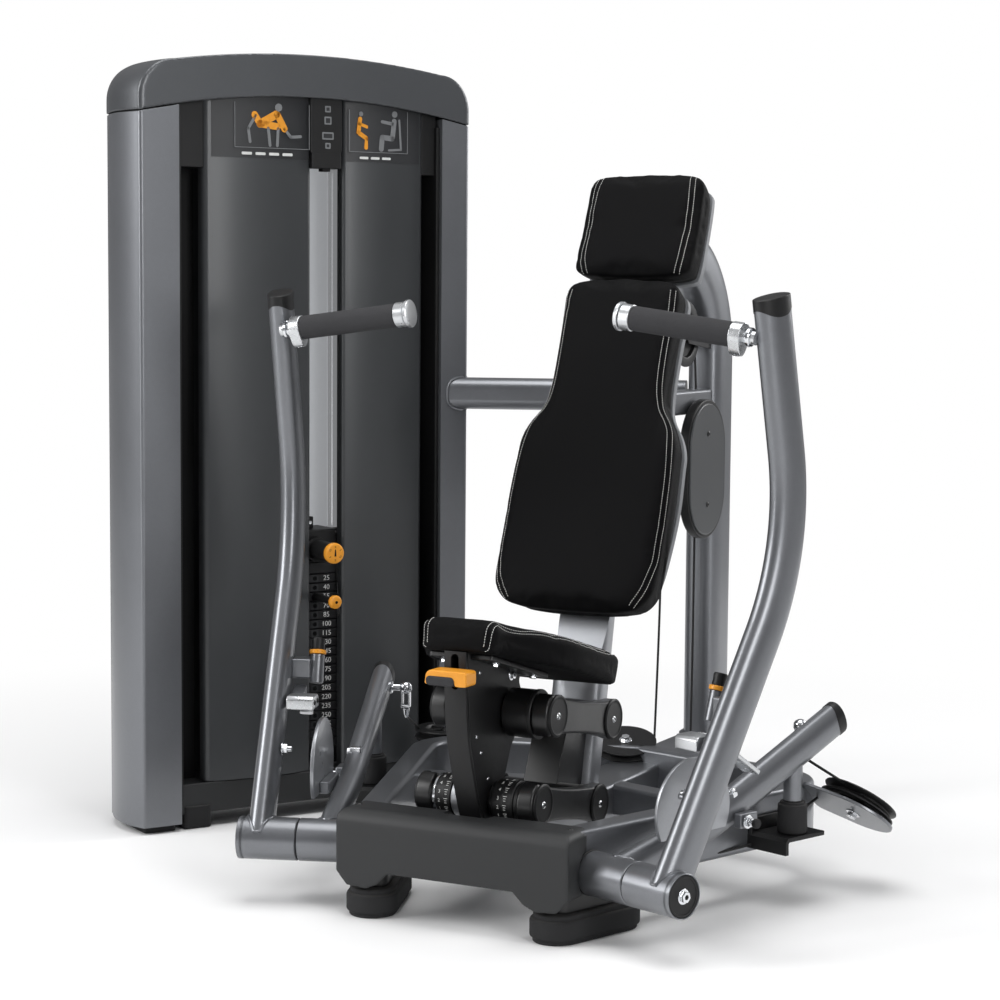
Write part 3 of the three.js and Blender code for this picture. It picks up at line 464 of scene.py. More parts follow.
    def hexbolt(self, point, direction, flats, height, washer=None, socket=False):
        """Hexagon head, width flats across its flats. washer is the radius of its washer."""
        place, z = facing(point, direction), 0.0
        if washer:
            self.lathe([(0, 0), (0, washer - 0.4), (0.4, washer), (1.2, washer),
                        (1.6, washer - 0.4), (1.6, 0)], (0, 0, 0), UP, 32, place)
            z = 1.6
        self.prism(circle(flats / 2 / cos(pi / 6), 6), z, z + height, place, bevel=0.8, steps=2)
        if socket:
            self.socket(place @ Vector((0, 0, z + height)), direction, flats * 0.27)
        return self

    def socket(self, point, direction, radius):
        """Flat dark hexagon, painted shade that stands for the hole of a screw socket."""
        keep = self.current
        self.use("dark").prism(circle(radius, 6), -0.5, 0.12, facing(point, direction), bevel=0)
        self.current = keep

    def button(self, point, direction, radius, height):
        """Button head socket screw."""
        dome = ((0, 1), (0.25, 0.985), (0.6, 0.86), (0.88, 0.66), (1, 0.46))
        profile = [(0, 0), *[(height * t, radius * r) for t, r in dome], (height, 0)]
        self.lathe(profile, point, direction, 32)
        top = Vector(point) + Vector(direction).normalized() * height
        self.socket(top, direction, radius * 0.4)
        return self

    def text(self, body, size, place, depth=0.15):
        key = (body, size, depth)
        if key not in _text_cache:
            curve = bpy.data.curves.new("t", "FONT")
            curve.body, curve.size, curve.extrude = body, size, depth
            curve.align_x, curve.align_y = "CENTER", "CENTER"
            curve.resolution_u = 3
            ob = bpy.data.objects.new("t", curve)
            bpy.context.scene.collection.objects.link(ob)
            graph = bpy.context.evaluated_depsgraph_get()
            mesh = bpy.data.meshes.new_from_object(ob.evaluated_get(graph))
            _text_cache[key] = ([tuple(v.co) for v in mesh.vertices],
                                [tuple(p.vertices) for p in mesh.polygons])
            bpy.data.objects.remove(ob)
            bpy.data.curves.remove(curve)
            bpy.data.meshes.remove(mesh)
        return self.put(*_text_cache[key], place)

    def solid(self, name="cutter"):
        """A plain triangulated object, for cutting with or remeshing."""
        return build_object(name, self.verts, self.faces, triangulate=True)

    def make(self, name, body, slot=None, replaces=(), angle=38.0, weighted=True):
        ob = build_object(name, self.verts, self.faces, self.materials, self.indices)
        finish_mesh(ob, angle)
        if weighted:
            ob.modifiers.new("wn", "WEIGHTED_NORMAL").keep_sharp = True
        attach(ob, body, replaces)
        return ob


def finish_mesh(ob, angle):
    """Smooth shading, with edges sharper than angle degrees kept sharp."""
    mesh = ob.data
    mesh.polygons.foreach_set("use_smooth", [True] * len(mesh.polygons))
    mesh.set_sharp_from_angle(angle=radians(angle))
    mesh.update()


def attach(ob, body, replaces=()):
    if body is not None:
        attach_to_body(ob, body)
    if replaces:
        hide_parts(*([replaces] if isinstance(replaces, str) else replaces))


def apply_modifiers(ob):
    graph = bpy.context.evaluated_depsgraph_get()
    mesh = bpy.data.meshes.new_from_object(ob.evaluated_get(graph))
    ob.modifiers.clear()
    ob.data = mesh


def cut(ob, cutters):
    """Subtracts each cutter from ob and removes the cutters."""
    for cutter in cutters:
        modifier = ob.modifiers.new("b", "BOOLEAN")
        modifier.operation, modifier.solver, modifier.object = "DIFFERENCE", "EXACT", cutter
    old = ob.data
    apply_modifiers(ob)
    bpy.data.meshes.remove(old)
    for cutter in cutters:
        bpy.data.objects.remove(cutter)


def remesh(ob, voxel, smooth):
    """Voxel remesh and smoothing, applied: gives a moulded part its soft edges."""
    modifier = ob.modifiers.new("r", "REMESH")
    modifier.mode, modifier.voxel_size = "VOXEL", voxel
    modifier = ob.modifiers.new("s", "SMOOTH")
    modifier.iterations, modifier.factor = smooth, 0.5
    apply_modifiers(ob)


# ---------------------------------------------------------------- materials
def add_node(tree, kind, inputs=None, **settings):
    """Adds a node. inputs maps an input to its value, or to the socket that feeds it."""
    node = tree.nodes.new("ShaderNode" + kind)
    for key, value in settings.items():
        setattr(node, key, value)
    for key, value in (inputs or {}).items():
        if isinstance(value, bpy.types.NodeSocket):
            tree.links.new(value, node.inputs[key])
        else:
            node.inputs[key].default_value = value
    return node


def map_range(tree, value, from_min=0.0, from_max=1.0, to_min=0.0, to_max=1.0, **settings):
    return add_node(tree, "MapRange", {
        "From Min": from_min, "From Max": from_max, "To Min": to_min, "To Max": to_max,
        "Value": value}, **settings).outputs[0]


def multiply_add(tree, value, factor, added):
    return add_node(tree, "Math", {0: value, 1: factor, 2: added},
                    operation="MULTIPLY_ADD").outputs[0]


def noise(tree, vector, scale, detail):
    return add_node(tree, "TexNoise", {"Scale": scale, "Detail": detail,
                                       "Vector": vector}).outputs[0]


def mix_colours(tree, factor, first, second):
    return add_node(tree, "Mix", {"A": first, "B": second, "Factor": factor},
                    data_type="RGBA").outputs["Result"]


def new_material(name):
    material = MATERIALS[name] = bpy.data.materials.new(name)
    material.use_nodes = True
    tree = material.node_tree
    tree.nodes.clear()
    output = add_node(tree, "OutputMaterial")
    bsdf = add_node(tree, "BsdfPrincipled")
    tree.links.new(bsdf.outputs[0], output.inputs[0])
    return tree, bsdf, output


def linear(colour):
    """sRGB 0..255 to linear."""
    return tuple(c / 255 / 12.92 if c / 255 <= 0.04045 else ((c / 255 + 0.055) / 1.055) ** 2.4
                 for c in colour)


def grain_height(tree, kind, grain, vector):
    """Height of the fine surface grain."""
    if kind == "leather":
        cells = add_node(tree, "TexVoronoi", {"Scale": grain, "Vector": vector},
                         feature="DISTANCE_TO_EDGE")
        fine = noise(tree, vector, grain * 0.35, 4.0)
        creases = map_range(tree, cells.outputs["Distance"], from_max=0.22)
        return multiply_add(tree, fine, 0.8, creases)
    if kind == "weave":
        wave = add_node(tree, "TexWave", {"Scale": grain, "Vector": vector, "Distortion": 0.6},
                        bands_direction="DIAGONAL")
        checks = add_node(tree, "TexChecker", {"Scale": grain * 1.7, "Vector": vector})
        return multiply_add(tree, checks.outputs["Fac"], 0.35, wave.outputs["Fac"])
    if kind == "dimple":
        cells = add_node(tree, "TexVoronoi", {"Scale": grain, "Randomness": 0.35,
                                              "Vector": vector}, feature="F1")
        return cells.outputs["Distance"]
    return noise(tree, vector, grain, 3.0)


def surface(name, colour, rough, metal=0.0, tone=0.12, tone_scale=7.0, grain=900.0, bump=0.15,
            depth=0.0004, vary=0.08, wear=None, wear_at=0.56, kind="noise", coat=0.0, sheen=0.0,
            stretch=None, flake=0.0, spec=0.5, coat_rough=0.15, dust=0.0, emit=0.0):
    """Material with slow tone changes and a fine grain.

    tone is the relative change of colour, vary that of roughness; grain is the scale of the bump,
    depth its height in metres; stretch scales the grain along each axis; flake is the spread of
    metallic flakes; wear is the colour of worn edges, from pointiness wear_at; dust is the
    cover on upward faces.
    """
    tree, bsdf, _ = new_material(name)
    position = add_node(tree, "TexCoord").outputs["Object"]
    grain_inputs = {0: position}
    if stretch:
        grain_inputs["Scale"] = stretch
    grain_position = add_node(tree, "Mapping", grain_inputs).outputs[0]
    slow = noise(tree, position, tone_scale, 5.0)
    fine = noise(tree, position, tone_scale * 14, 3.0)
    tones = multiply_add(tree, fine, 0.45, slow)
    factor = map_range(tree, tones, from_min=0.45, from_max=1.0)
    base = linear(colour)
    shade = mix_colours(tree, factor, (*[max(0, c * (1 - tone)) for c in base], 1),
                        (*[min(1, c * (1 + tone)) for c in base], 1))
    height = grain_height(tree, kind, grain, grain_position)
    relief = add_node(tree, "Bump", {"Strength": bump, "Distance": depth, "Height": height})
    tree.links.new(relief.outputs[0], bsdf.inputs["Normal"])
    roughness = map_range(tree, tones, from_min=0.3, from_max=1.1,
                          to_min=max(0.02, rough - vary), to_max=min(1, rough + vary))
    if flake > 0:
        cells = add_node(tree, "TexVoronoi", {"Scale": 1500, "Vector": position})
        # The range node comes before the one that feeds it.
        spread = add_node(tree, "MapRange", {"From Min": 0.0, "From Max": 1.0,
                                             "To Min": 1 - flake, "To Max": 1 + flake})
        split = add_node(tree, "SeparateColor", {0: cells.outputs["Color"]})
        tree.links.new(split.outputs[0], spread.inputs["Value"])
        shade = add_node(tree, "VectorMath", {0: shade, "Scale": spread.outputs[0]},
                         operation="SCALE").outputs[0]
    if wear is not None:
        pointiness = add_node(tree, "NewGeometry").outputs["Pointiness"]
        ragged = noise(tree, position, 60.0, 6.0)
        edges = multiply_add(tree, ragged, 0.16, pointiness)
        worn = map_range(tree, edges, from_min=wear_at + 0.08, from_max=wear_at + 0.16, to_max=0.75)
        shade = mix_colours(tree, worn, shade, (*linear(wear), 1))
    if dust > 0:
        normal = add_node(tree, "NewGeometry").outputs["Normal"]
        upward = add_node(tree, "SeparateXYZ", {0: normal}).outputs["Z"]
        patches = add_node(tree, "Math", {0: upward, 1: slow}, operation="MULTIPLY").outputs[0]
        cover = map_range(tree, patches, from_min=0.3, from_max=0.75, to_max=dust)
        shade = mix_colours(tree, cover, shade, (*linear((120, 118, 114)), 1))
    tree.links.new(shade, bsdf.inputs["Base Color"])
    tree.links.new(roughness, bsdf.inputs["Roughness"])
    values = {"Metallic": metal, "Specular IOR Level": spec}
    if coat:
        values.update({"Coat Weight": coat, "Coat Roughness": coat_rough})
    # emit makes the surface glow in its own colour: painted light, not a lamp
    if emit:
        values.update({"Emission Color": (*base, 1), "Emission Strength": emit})
    if sheen:
        values.update({"Sheen Weight": sheen, "Sheen Roughness": 0.5})
    for key, value in values.items():
        bsdf.inputs[key].default_value = value
    MATERIALS[name].diffuse_color = (*base, 1)


PAINT = dict(grain=420, bump=0.035, depth=0.0003)
MOULDED = dict(grain=1300, depth=0.0004, vary=0.07)
surface("frame", colour=(124, 126, 130), rough=0.36, metal=0.80, vary=0.025, tone=0.05,
        flake=0.04, coat=0.35, coat_rough=0.12, **PAINT)
surface("post", colour=(120, 122, 126), rough=0.40, metal=0.75, vary=0.02, tone=0.04,
        flake=0.04, coat=0.30, **PAINT)
surface("cap_grey", colour=(84, 86, 89), rough=0.38, metal=0.55, vary=0.02, tone=0.04,
        flake=0.03, coat=0.35, **PAINT)
surface("bright", colour=(158, 160, 164), rough=0.36, metal=0.80, vary=0.025, tone=0.05,
        grain=420, bump=0.012, depth=0.0002, flake=0.04, coat=0.30)
surface("black_steel", colour=(13, 13, 14), rough=0.36, metal=0.1, tone=0.25, grain=700,
        bump=0.10, depth=0.0003, coat=0.15)
surface("mould", colour=(38, 39, 40), rough=0.52, tone=0.14, bump=0.26, spec=0.42, **MOULDED)
surface("mould_dark", colour=(15, 15, 16), rough=0.46, tone=0.2, bump=0.22, spec=0.4, **MOULDED)
surface("shroud", colour=(60, 62, 64), rough=0.40, metal=0.25, vary=0.02, tone=0.05,
        tone_scale=3, grain=500, bump=0.12, depth=0.0003, coat=0.25, coat_rough=0.2, flake=0.03)
surface("dark", colour=(8, 8, 9), rough=0.7, tone=0.3, spec=0.2)
# near-black for sheets and blocks set into recesses and openings: painted shade
surface("painted_shade", colour=(14, 14, 15), rough=0.6, tone=0.3, spec=0.25)
surface("rubber", colour=(38, 38, 39), rough=0.78, tone=0.2, bump=0.35, depth=0.0005, spec=0.3,
        dust=0.25)
surface("grip", colour=(52, 52, 54), rough=0.82, tone=0.18, grain=520, bump=0.55, depth=0.0007,
        kind="dimple", spec=0.3)
surface("vinyl", colour=(5, 5, 6), rough=0.62, tone=0.35, tone_scale=9, grain=620, bump=0.30,
        depth=0.00045, kind="leather", sheen=0.008, vary=0.07, spec=0.09)
surface("board", colour=(122, 124, 127), rough=0.50, metal=0.1, tone=0.08, grain=800, bump=0.18,
        depth=0.0003)
surface("chrome", colour=(222, 224, 227), rough=0.12, metal=1.0, tone=0.04, grain=120, bump=0.03,
        depth=0.0002, vary=0.05, stretch=(1, 1, 0.05))
# rod: chrome with a faint emission in its own colour, a painted glow that brightens the guide rods inside
# the dark tower
surface("rod", colour=(226, 228, 231), rough=0.16, metal=1.0, tone=0.04, grain=60, bump=0.02,
        depth=0.0002, vary=0.04, stretch=(1, 1, 0.02), emit=0.26)
surface("alu", colour=(204, 206, 208), rough=0.28, metal=0.9, tone=0.06, grain=500, bump=0.12,
        depth=0.0002, stretch=(1, 0.12, 1), wear=(235, 236, 238), wear_at=0.60)
surface("orange", colour=(226, 150, 38), rough=0.42, tone=0.10, depth=0.0003, spec=0.4, coat=0.15)
surface("cable", colour=(16, 16, 17), rough=0.45, tone=0.2, grain=260, bump=0.5, depth=0.0006,
        kind="weave", spec=0.4)
surface("belt", colour=(20, 20, 21), rough=0.7, tone=0.2, grain=300, bump=0.5, depth=0.0005,
        kind="weave", spec=0.3)
surface("ink", colour=(215, 216, 214), rough=0.6, tone=0.05, spec=0.3)
surface("ink_grey", colour=(120, 122, 124), rough=0.6, tone=0.08, spec=0.3)
surface("placard", colour=(46, 47, 49), rough=0.42, tone=0.06, grain=500, bump=0.05,
        depth=0.0002, spec=0.4)
surface("thread", colour=(205, 205, 202), rough=0.7, grain=1800, bump=0.5, depth=0.0003,
        kind="weave", spec=0.3, sheen=0.2)
# strip: pale grey with an emission, painted light that makes the back of the gap between the shrouds glow
surface("strip", colour=(176, 178, 181), rough=0.45, metal=0.1, tone=0.05, grain=500, bump=0.1,
        depth=0.0002, emit=0.55)
surface("plates", colour=(21, 21, 23), rough=0.42, metal=0.2, tone=0.25, grain=420, bump=0.28,
        depth=0.0005, wear=(58, 58, 62))

# ---------------------------------------------------------------- tower posts and cap
TOWER_L, TOWER_T = 743.0, 182.0          # length and thickness in plan
POST_FRONT, POST_REAR = 84.0, 65.0       # widths of the posts
POST_Z = 1434.0                          # height of the posts
CAP_FRONT, CAP_REAR, CAP_Z = 76.0, 66.0, 1464    # ends of the cap: lengths and springing height
BAY_X0, BAY_X1 = POST_FRONT, TOWER_L - POST_REAR    # opening between the posts


def post_outline(width, grow=0.0):
    """Post in plan: a broad rolled nose with a small and a large corner."""
    depth = TOWER_T + grow
    points = [(8 - (8 + grow) * sin(radians(15 * i)), 6 - grow - 6 * cos(radians(15 * i)))
              for i in range(6)]
    for i in range(29):
        f = -1 + 2 * i / 28
        points.append((-16 * (1 - f * f) - grow, -grow + 6 + (depth + grow - 26) * i / 28))
    points += [(18 - (18 + grow) * cos(radians(90 * i / 8)), depth - 20 + 20 * sin(radians(90 * i / 8)))
               for i in range(1, 9)]
    return points + [(width, depth), (width, -grow)]


def rear_post_outline(grow=0.0):
    return [(TOWER_L - x, y) for x, y in post_outline(POST_REAR, grow)]


def crown(x):
    return 1 - ((x - TOWER_L / 2) / (TOWER_L / 2)) ** 2


def cap_bottom(x):
    return POST_Z + 2.5 + 40 * crown(x)


def cap_top(x):
    return 1526 + 36 * crown(x)


def tower_post(name, node, outline, foot_x0, foot_x1):
    part = Piece(TOWER).use("post").prism(outline, 14, POST_Z, bevel=1.6)
    for i, v in enumerate(part.verts):      # the top edge follows the arch of the cap
        q = TOWER_INVERSE @ Vector(v)
        if q.z > 1400:
            q.z += cap_bottom(max(0, min(TOWER_L, q.x))) - POST_Z - 2.2
            part.verts[i] = tuple(TOWER @ q)
    # dark filler in the top of the post: painted shade in the gap under the cap
    part.use("dark").prism(offset(outline, 4), 1425, 1462, bevel=0)
    part.use("rubber").prism(rect(foot_x0, foot_x1, 14, TOWER_T - 14, 6), 0.2, 14.5, bevel=1.2)
    part.make(name, "frame", "frame_metallic", node)


tower_post("tower_front_post", "tower_post_front", post_outline(POST_FRONT), 10, POST_FRONT - 8)
tower_post("tower_back_post", "tower_post_rear", rear_post_outline(), BAY_X1 + 8, TOWER_L - 10)


def cap_outline():
    """Arch in (x, z): 49 points below, then rear end, top and front end."""
    lower = [(TOWER_L * i / 48, cap_bottom(TOWER_L * i / 48)) for i in range(49)]
    rear_x = TOWER_L - CAP_REAR
    ends = []
    for start, x, reach in ((0, rear_x, CAP_REAR), (90, CAP_FRONT, CAP_FRONT)):
        angles = [radians(start + 90 * i / 16) for i in range(17)]
        ends.append([(x + reach * cos(a), CAP_Z + (cap_top(x) - CAP_Z) * sin(a)) for a in angles])
    top = [CAP_FRONT + (TOWER_L - CAP_FRONT - CAP_REAR) * i / 40 for i in range(39, 0, -1)]
    return lower + ends[0] + [(x, cap_top(x)) for x in top] + ends[1]


def nose_x(y):
    """How far the post nose stands off the end plane at this depth."""
    if y < 6:
        return 8 - 9 * sqrt(max(0.0, 1 - ((6 - y) / 7.0) ** 2))
    if y > TOWER_T - 19:
        return 18 - 19 * sqrt(max(0.0, 1 - ((y - (TOWER_T - 19)) / 20.0) ** 2))
    f = -1 + 2 * (y - 6) / (TOWER_T - 25)
    return -16 * (1 - f * f) - 1


def tower_cap():
    """Arched cap, hollow inside, its ends bent to follow the noses of the posts."""
    arch = cap_outline()
    inner = [(TOWER_L / 2 + (x - TOWER_L / 2) * 0.955, z - 30 if i <= 48 else z - 14)
             for i, (x, z) in enumerate(arch)]
    cap = Piece(TOWER).prism_y(arch, -1, TOWER_T + 1, bevel=0).solid()
    cut(cap, [Piece(TOWER).prism_y(inner, 8, TOWER_T - 8, bevel=0).solid()])
    remesh(cap, voxel=0.0026, smooth=3)
    place = TO_ROW @ TOWER
    inverse = place.inverted()
    for v in cap.data.vertices:
        q = inverse @ v.co
        for end, sign in ((0.0, 1), (TOWER_L, -1)):
            inward = (q.x - end) * sign
            if inward < 150:
                q.x += sign * nose_x(q.y) * (1 - max(0.0, inward) / 150)
        v.co = place @ q
    cap.name = "tower_arched_cap"
    cap.data.materials.clear()
    cap.data.materials.append(MATERIALS["cap_grey"])
    finish_mesh(cap, 60)
    attach(cap, "frame", "tower_cap")


tower_cap()

# ---------------------------------------------------------------- tower shrouds and liners
# x of the two edges, bow of the face, radii of the two rolled edges
SHROUD_FRONT = (144, 380, 11, 13, 8)
SHROUD_REAR = (456, 642, 9, 8, 11)


def shroud_line(x0, x1, bow, r0, r1):
    """Centre line in (x, y) of a bowed sheet with rolled long edges."""
    face = []
    for i in range(1, 40):
        f = -1 + 2 * i / 40
        face.append((x0 + r0 + (x1 - x0 - r0 - r1) * i / 40, 20 - bow * (1 - f * f)))
    return [(x0, 44), *arc(x0 + r0, 20 + r0, r0, 180, 270, 8), *face,
            *arc(x1 - r1, 20 + r1, r1, 270, 360, 8), (x1, 44)]


for label, shroud in (("front", SHROUD_FRONT), ("rear", SHROUD_REAR)):
    part = Piece(TOWER).use("shroud").prism(strip(shroud_line(*shroud), 3.0), 92, 1500, bevel=0.7)
    part.make("tower_shroud_" + label, "frame", "shroud_grey", "shroud_" + label, angle=50)

part = Piece(TOWER)
outer_line = [(BAY_X0 + 1 + (BAY_X1 - BAY_X0 - 2) * i / 40,
               TOWER_T - 12 + 10 * (1 - (-1 + 2 * i / 40) ** 2)) for i in range(41)]
part.use("shroud").prism(strip(outer_line, 3.6), 84, POST_Z - 6, bevel=0.8)
for z in (180, 480, 780, 1080, 1330):
    for x in (BAY_X0 + 16, BAY_X1 - 16):
        part.use("black_steel").button((x, TOWER_T - 10.4, z), (0, 1, 0), 5.5, 2.6)
part.make("tower_outer_shroud", "frame", "shroud_grey", "shroud_outer", angle=50)

# liners beside the posts, with near-black sheets of painted shade in the recesses and under the cap
part = Piece(TOWER).use("mould_dark")
part.box(BAY_X0 + 0.8, BAY_X0 + 8, 10, 150, 60, 1430, bevel=1)
part.box(BAY_X1 - 8, BAY_X1 - 0.8, 10, 150, 60, 1430, bevel=1)
# near-black sheets behind the recesses beside the posts: painted shade
part.use("painted_shade").box(BAY_X0 + 3, 150, 84, 88, 86, 1425, bevel=0.8)
part.box(636, BAY_X1 - 3, 84, 88, 86, 1425, bevel=0.8)
part.use("mould_dark").box(BAY_X0 + 3, 146, 22, 84, 1330, 1468, bevel=2)
part.box(640, BAY_X1 - 3, 22, 84, 1330, 1468, bevel=2)
# near-black sheet across the bay under the cap: painted shade
part.use("painted_shade").box(BAY_X0 + 3, BAY_X1 - 3, 148, 153, 1396, 1474, bevel=0.8)
part.make("tower_liners", "frame", "moulded_black")

# channel behind the gap between the shrouds: a pale strip that glows, painted light, between near-black
# sheets of painted shade
part = Piece(TOWER)
part.use("strip").box(446, 500, 160, 166, 575, 1404, bevel=1)
# near-black sheets either side of the strip: painted shade over the inside of the outer shroud
part.use("painted_shade").box(300, 444, 158, 164, 100, 1404, bevel=1)
part.box(502, 560, 158, 164, 100, 1404, bevel=1)
part.make("tower_back_channel", "frame", "shroud_grey")

# housing between the shroud tops, with a column of small printed windows
part = Piece(TOWER).use("mould_dark")
part.prism_y(rect(376, 447, 1366, 1480, 6), 9, 19, bevel=2)
part.box(379, 446, 9, 40, 1336, 1368, bevel=2)
# near-black block under the front of the housing: painted shade
part.use("painted_shade").box(404, 422, 11.4, 30, 1330, 1352, bevel=1)
for z, width, height in ((1456, 13, 13), (1433, 16, 16), (1402, 26, 15), (1382, 12, 12)):
    for material, rim, corner, y in (("ink_grey", 0, 2, 8.7), ("placard", 3, 1, 8.4)):
        half_x, half_z = width / 2 - rim, height / 2 - rim
        part.use(material).prism_y(rect(415 - half_x, 415 + half_x, z - half_z, z + half_z, corner),
                                   y, y + 0.5, bevel=0)
part.make("tower_centre_housing", "frame", "moulded_black")


# ---------------------------------------------------------------- pictogram placards
def placard_band(part, shroud, band_x0, band_x1):
    """Thin band that follows the bow of a shroud top."""
    x0, x1, bow, r0, r1 = shroud
    line = []
    for i in range(25):
        x = band_x0 + (band_x1 - band_x0) * i / 24
        f = -1 + 2 * (x - x0 - r0) / (x1 - x0 - r0 - r1)
        line.append((x, 20 - bow * (1 - f * f) - 1.5 - 0.35))
    part.use("placard").prism(strip(line, 0.6), 1352, 1478, bevel=0)


def rim_lines(part, lines, y0, y1):
    for x0, x1, z0, z1 in lines:
        part.use("ink_grey").prism_y(rect(x0, x1, z0, z1, 0.4, 1), y0, y1, bevel=0)


def limb(part, points, radius, y, material):
    """Rounded strokes of a pictogram."""
    path = [Vector(p) for p in points]
    for start, end in zip(path, path[1:]):
        run = end - start
        a = atan2(run.y, run.x)
        stroke = [(start.x + x * cos(a) - z * sin(a), start.y + x * sin(a) + z * cos(a))
                  for x, z in capsule(0, run.length, 0, radius, 6)]
        part.use(material).prism_y(stroke, y - 0.35, y, bevel=0)


def head_dot(part, radius, sides, x, z, y):
    part.use("ink_grey").prism_y(circle(radius, sides, x, z), y - 0.4, y, bevel=0)


def label_bars(part, count, x0, pitch, width, z1, y0, y1):
    for k in range(count):
        bar = rect(x0 + pitch * k, x0 + width + pitch * k, 1358, z1, 1.5, 2)
        part.use("ink").prism_y(bar, y0, y1, bevel=0)


# limbs in (x, z): points, stroke radius, material
SEATED_FIGURE = (
    ([(250, 1438), (262, 1420), (300, 1416)], 7, "orange"),
    ([(262, 1420), (298, 1440)], 8, "orange"),
    ([(300, 1440), (316, 1412)], 7, "orange"),
    ([(252, 1436), (236, 1410), (240, 1384)], 3, "ink_grey"),
    ([(316, 1412), (330, 1396), (352, 1398)], 3, "ink_grey"),
    ([(280, 1412), (284, 1378)], 3, "ink_grey"),
    ([(302, 1412), (300, 1378)], 3, "ink_grey"))
SMALL_ORANGE_FIGURE = (
    ([(490, 1440), (486, 1412), (506, 1400), (504, 1382)], 4.5, "orange"),
    ([(488, 1430), (506, 1424)], 3.2, "orange"))
SMALL_GREY_FIGURE = (
    ([(568, 1438), (564, 1402), (540, 1404), (538, 1380)], 5.5, "ink_grey"),
    ([(566, 1432), (540, 1436)], 3.4, "ink_grey"),
    ([(580, 1440), (584, 1380), (556, 1378)], 2.2, "ink_grey"))

part = Piece(TOWER)
placard_band(part, SHROUD_FRONT, 160, 376)
placard_band(part, SHROUD_REAR, 460, 632)
rim_lines(part, ((206, 372, 1372.0, 1373.2), (206, 207.2, 1372, 1462), (371, 372.2, 1372, 1462)),
          6.4, 7.3)
for points, radius, material in SEATED_FIGURE:
    limb(part, points, radius, 7.0, material)
head_dot(part, 8, 20, 303, 1454, 7.0)
label_bars(part, 4, 222, 30, 22, 1363.5, 6.8, 7.9)
rim_lines(part, ((464, 600, 1372.0, 1373.2), (599, 600.2, 1372, 1458), (464, 465.2, 1372, 1458)),
          8.8, 9.8)
for points, radius, material in SMALL_ORANGE_FIGURE:
    limb(part, points, radius, 11.2, material)
head_dot(part, 5, 16, 492, 1450, 11.2)
for points, radius, material in SMALL_GREY_FIGURE:
    limb(part, points, radius, 8.7, material)
head_dot(part, 6.5, 18, 569, 1452, 8.7)
label_bars(part, 3, 488, 26, 20, 1363, 8.6, 9.6)
part.make("tower_placards", "frame", "shroud_grey")

# ---------------------------------------------------------------- tower base, head plate, rods
STACK_X, STACK_Y = 405.0, 100        # centre of the weight stack
ROD_X = (STACK_X - 67, STACK_X + 67)

part = Piece(TOWER)
part.use("mould").box(BAY_X0 + 0.6, BAY_X1 - 0.6, 22, TOWER_T - 16, 44, 88, bevel=2.5)
part.box(BAY_X0 + 0.6, BAY_X1 - 0.6, 14, 23.5, 30, 91, bevel=2.5)
for x in (BAY_X0 + 10, BAY_X1 - 70):
    part.use("rubber").box(x, x + 60, 10, TOWER_T - 10, 0.2, 46, bevel=3, radius=8)
part.make("tower_base_channel", "frame", "moulded_black", "tower_base")

part = Piece(TOWER)
part.use("black_steel").box(BAY_X0 + 0.8, BAY_X1 - 0.8, 60, 140, 1404, 1428, bevel=1.5)
for x in (BAY_X0 + 30, BAY_X1 - 30, *ROD_X):
    part.use("chrome").hexbolt((x, STACK_Y, 1428), UP, 17, 9, 15)
part.make("tower_top_plate", "frame", "black_steel", "tower_head_plate")

for x, label in zip(ROD_X, ("front", "rear")):
    part = Piece(TOWER)
    # guide rod in the self-lit chrome: a painted glow
    part.use("rod").cyl((x, STACK_Y, 88.5), (x, STACK_Y, 1425), 10, 1.5)
    part.use("rubber").tube((x, STACK_Y, 90), (x, STACK_Y, 131), 17, 10.4, 2)
    part.use("black_steel").tube((x, STACK_Y, 1384), (x, STACK_Y, 1403.6), 16, 10.4, 1)
    part.use("dark").tube((x, STACK_Y, 1386), (x, STACK_Y, 1390), 16.3, 12, 0.5)
    part.make("stack_rod_" + label, "frame", "chrome_rod", "guide_rod_" + label)

# ---------------------------------------------------------------- weight stack
PLATE_STEP, RESTING, LIFTED, STACK_Z = 19.3, 16, 3, 133.0
WEIGHT_STEP, TOP_RESTING = 15, 70                      # printed numbers
LIFT_Z = STACK_Z + RESTING * PLATE_STEP
HEAD_Z = LIFT_Z + LIFTED * PLATE_STEP
DIAL_Z = HEAD_Z + 52
PIN_Z = LIFT_Z + 0.5 * PLATE_STEP


def slab(part, z0, z1):
    outline = rect(STACK_X - 115, STACK_X + 115, 47, 150, 7, 4)
    part.use("plates").prism(outline, z0, z1, bevel=2.0)


def weight_plates(name, body, node, z0, count, first):
    """Plates, each with a flat dark disc of painted shade for its pin hole, in a faint square, and a
    number.
    """
    part = Piece(TOWER)
    for i in range(count):
        z = z0 + i * PLATE_STEP
        slab(part, z + 0.5, z + PLATE_STEP - 0.7)
        z += PLATE_STEP / 2
        square = rect(STACK_X - 8, STACK_X + 8, z - 7, z + 7, 2, 2)
        part.use("placard").prism_y(square, 46.85, 47.2, bevel=0)
        # pin hole: a flat dark disc, painted shade
        part.use("dark").lathe([(0, 0), (0.25, 0), (0.25, 4.95), (0, 4.95), (0, 0)],
                               (STACK_X, 47.1, z), (0, -1, 0), 28)
        part.use("ink").text(str(first - WEIGHT_STEP * i), 15, shift(STACK_X + 27, 46.9, z) @ UPRIGHT)
    part.make(name, body, "black_steel", node)


weight_plates("weights_resting", "frame", "weight_plates_resting", STACK_Z, RESTING,
              TOP_RESTING + WEIGHT_STEP * (RESTING - 1))
weight_plates("weights_lifted", "stack", "weight_plates_lifted", LIFT_Z, LIFTED,
              TOP_RESTING - WEIGHT_STEP)

part = Piece(TOWER)
part.use("chrome").cyl((STACK_X, STACK_Y, 150), (STACK_X, STACK_Y, 590), 11, 2, 32)
part.make("stack_selector_stem", "stack", "chrome_rod", "stack_stem")

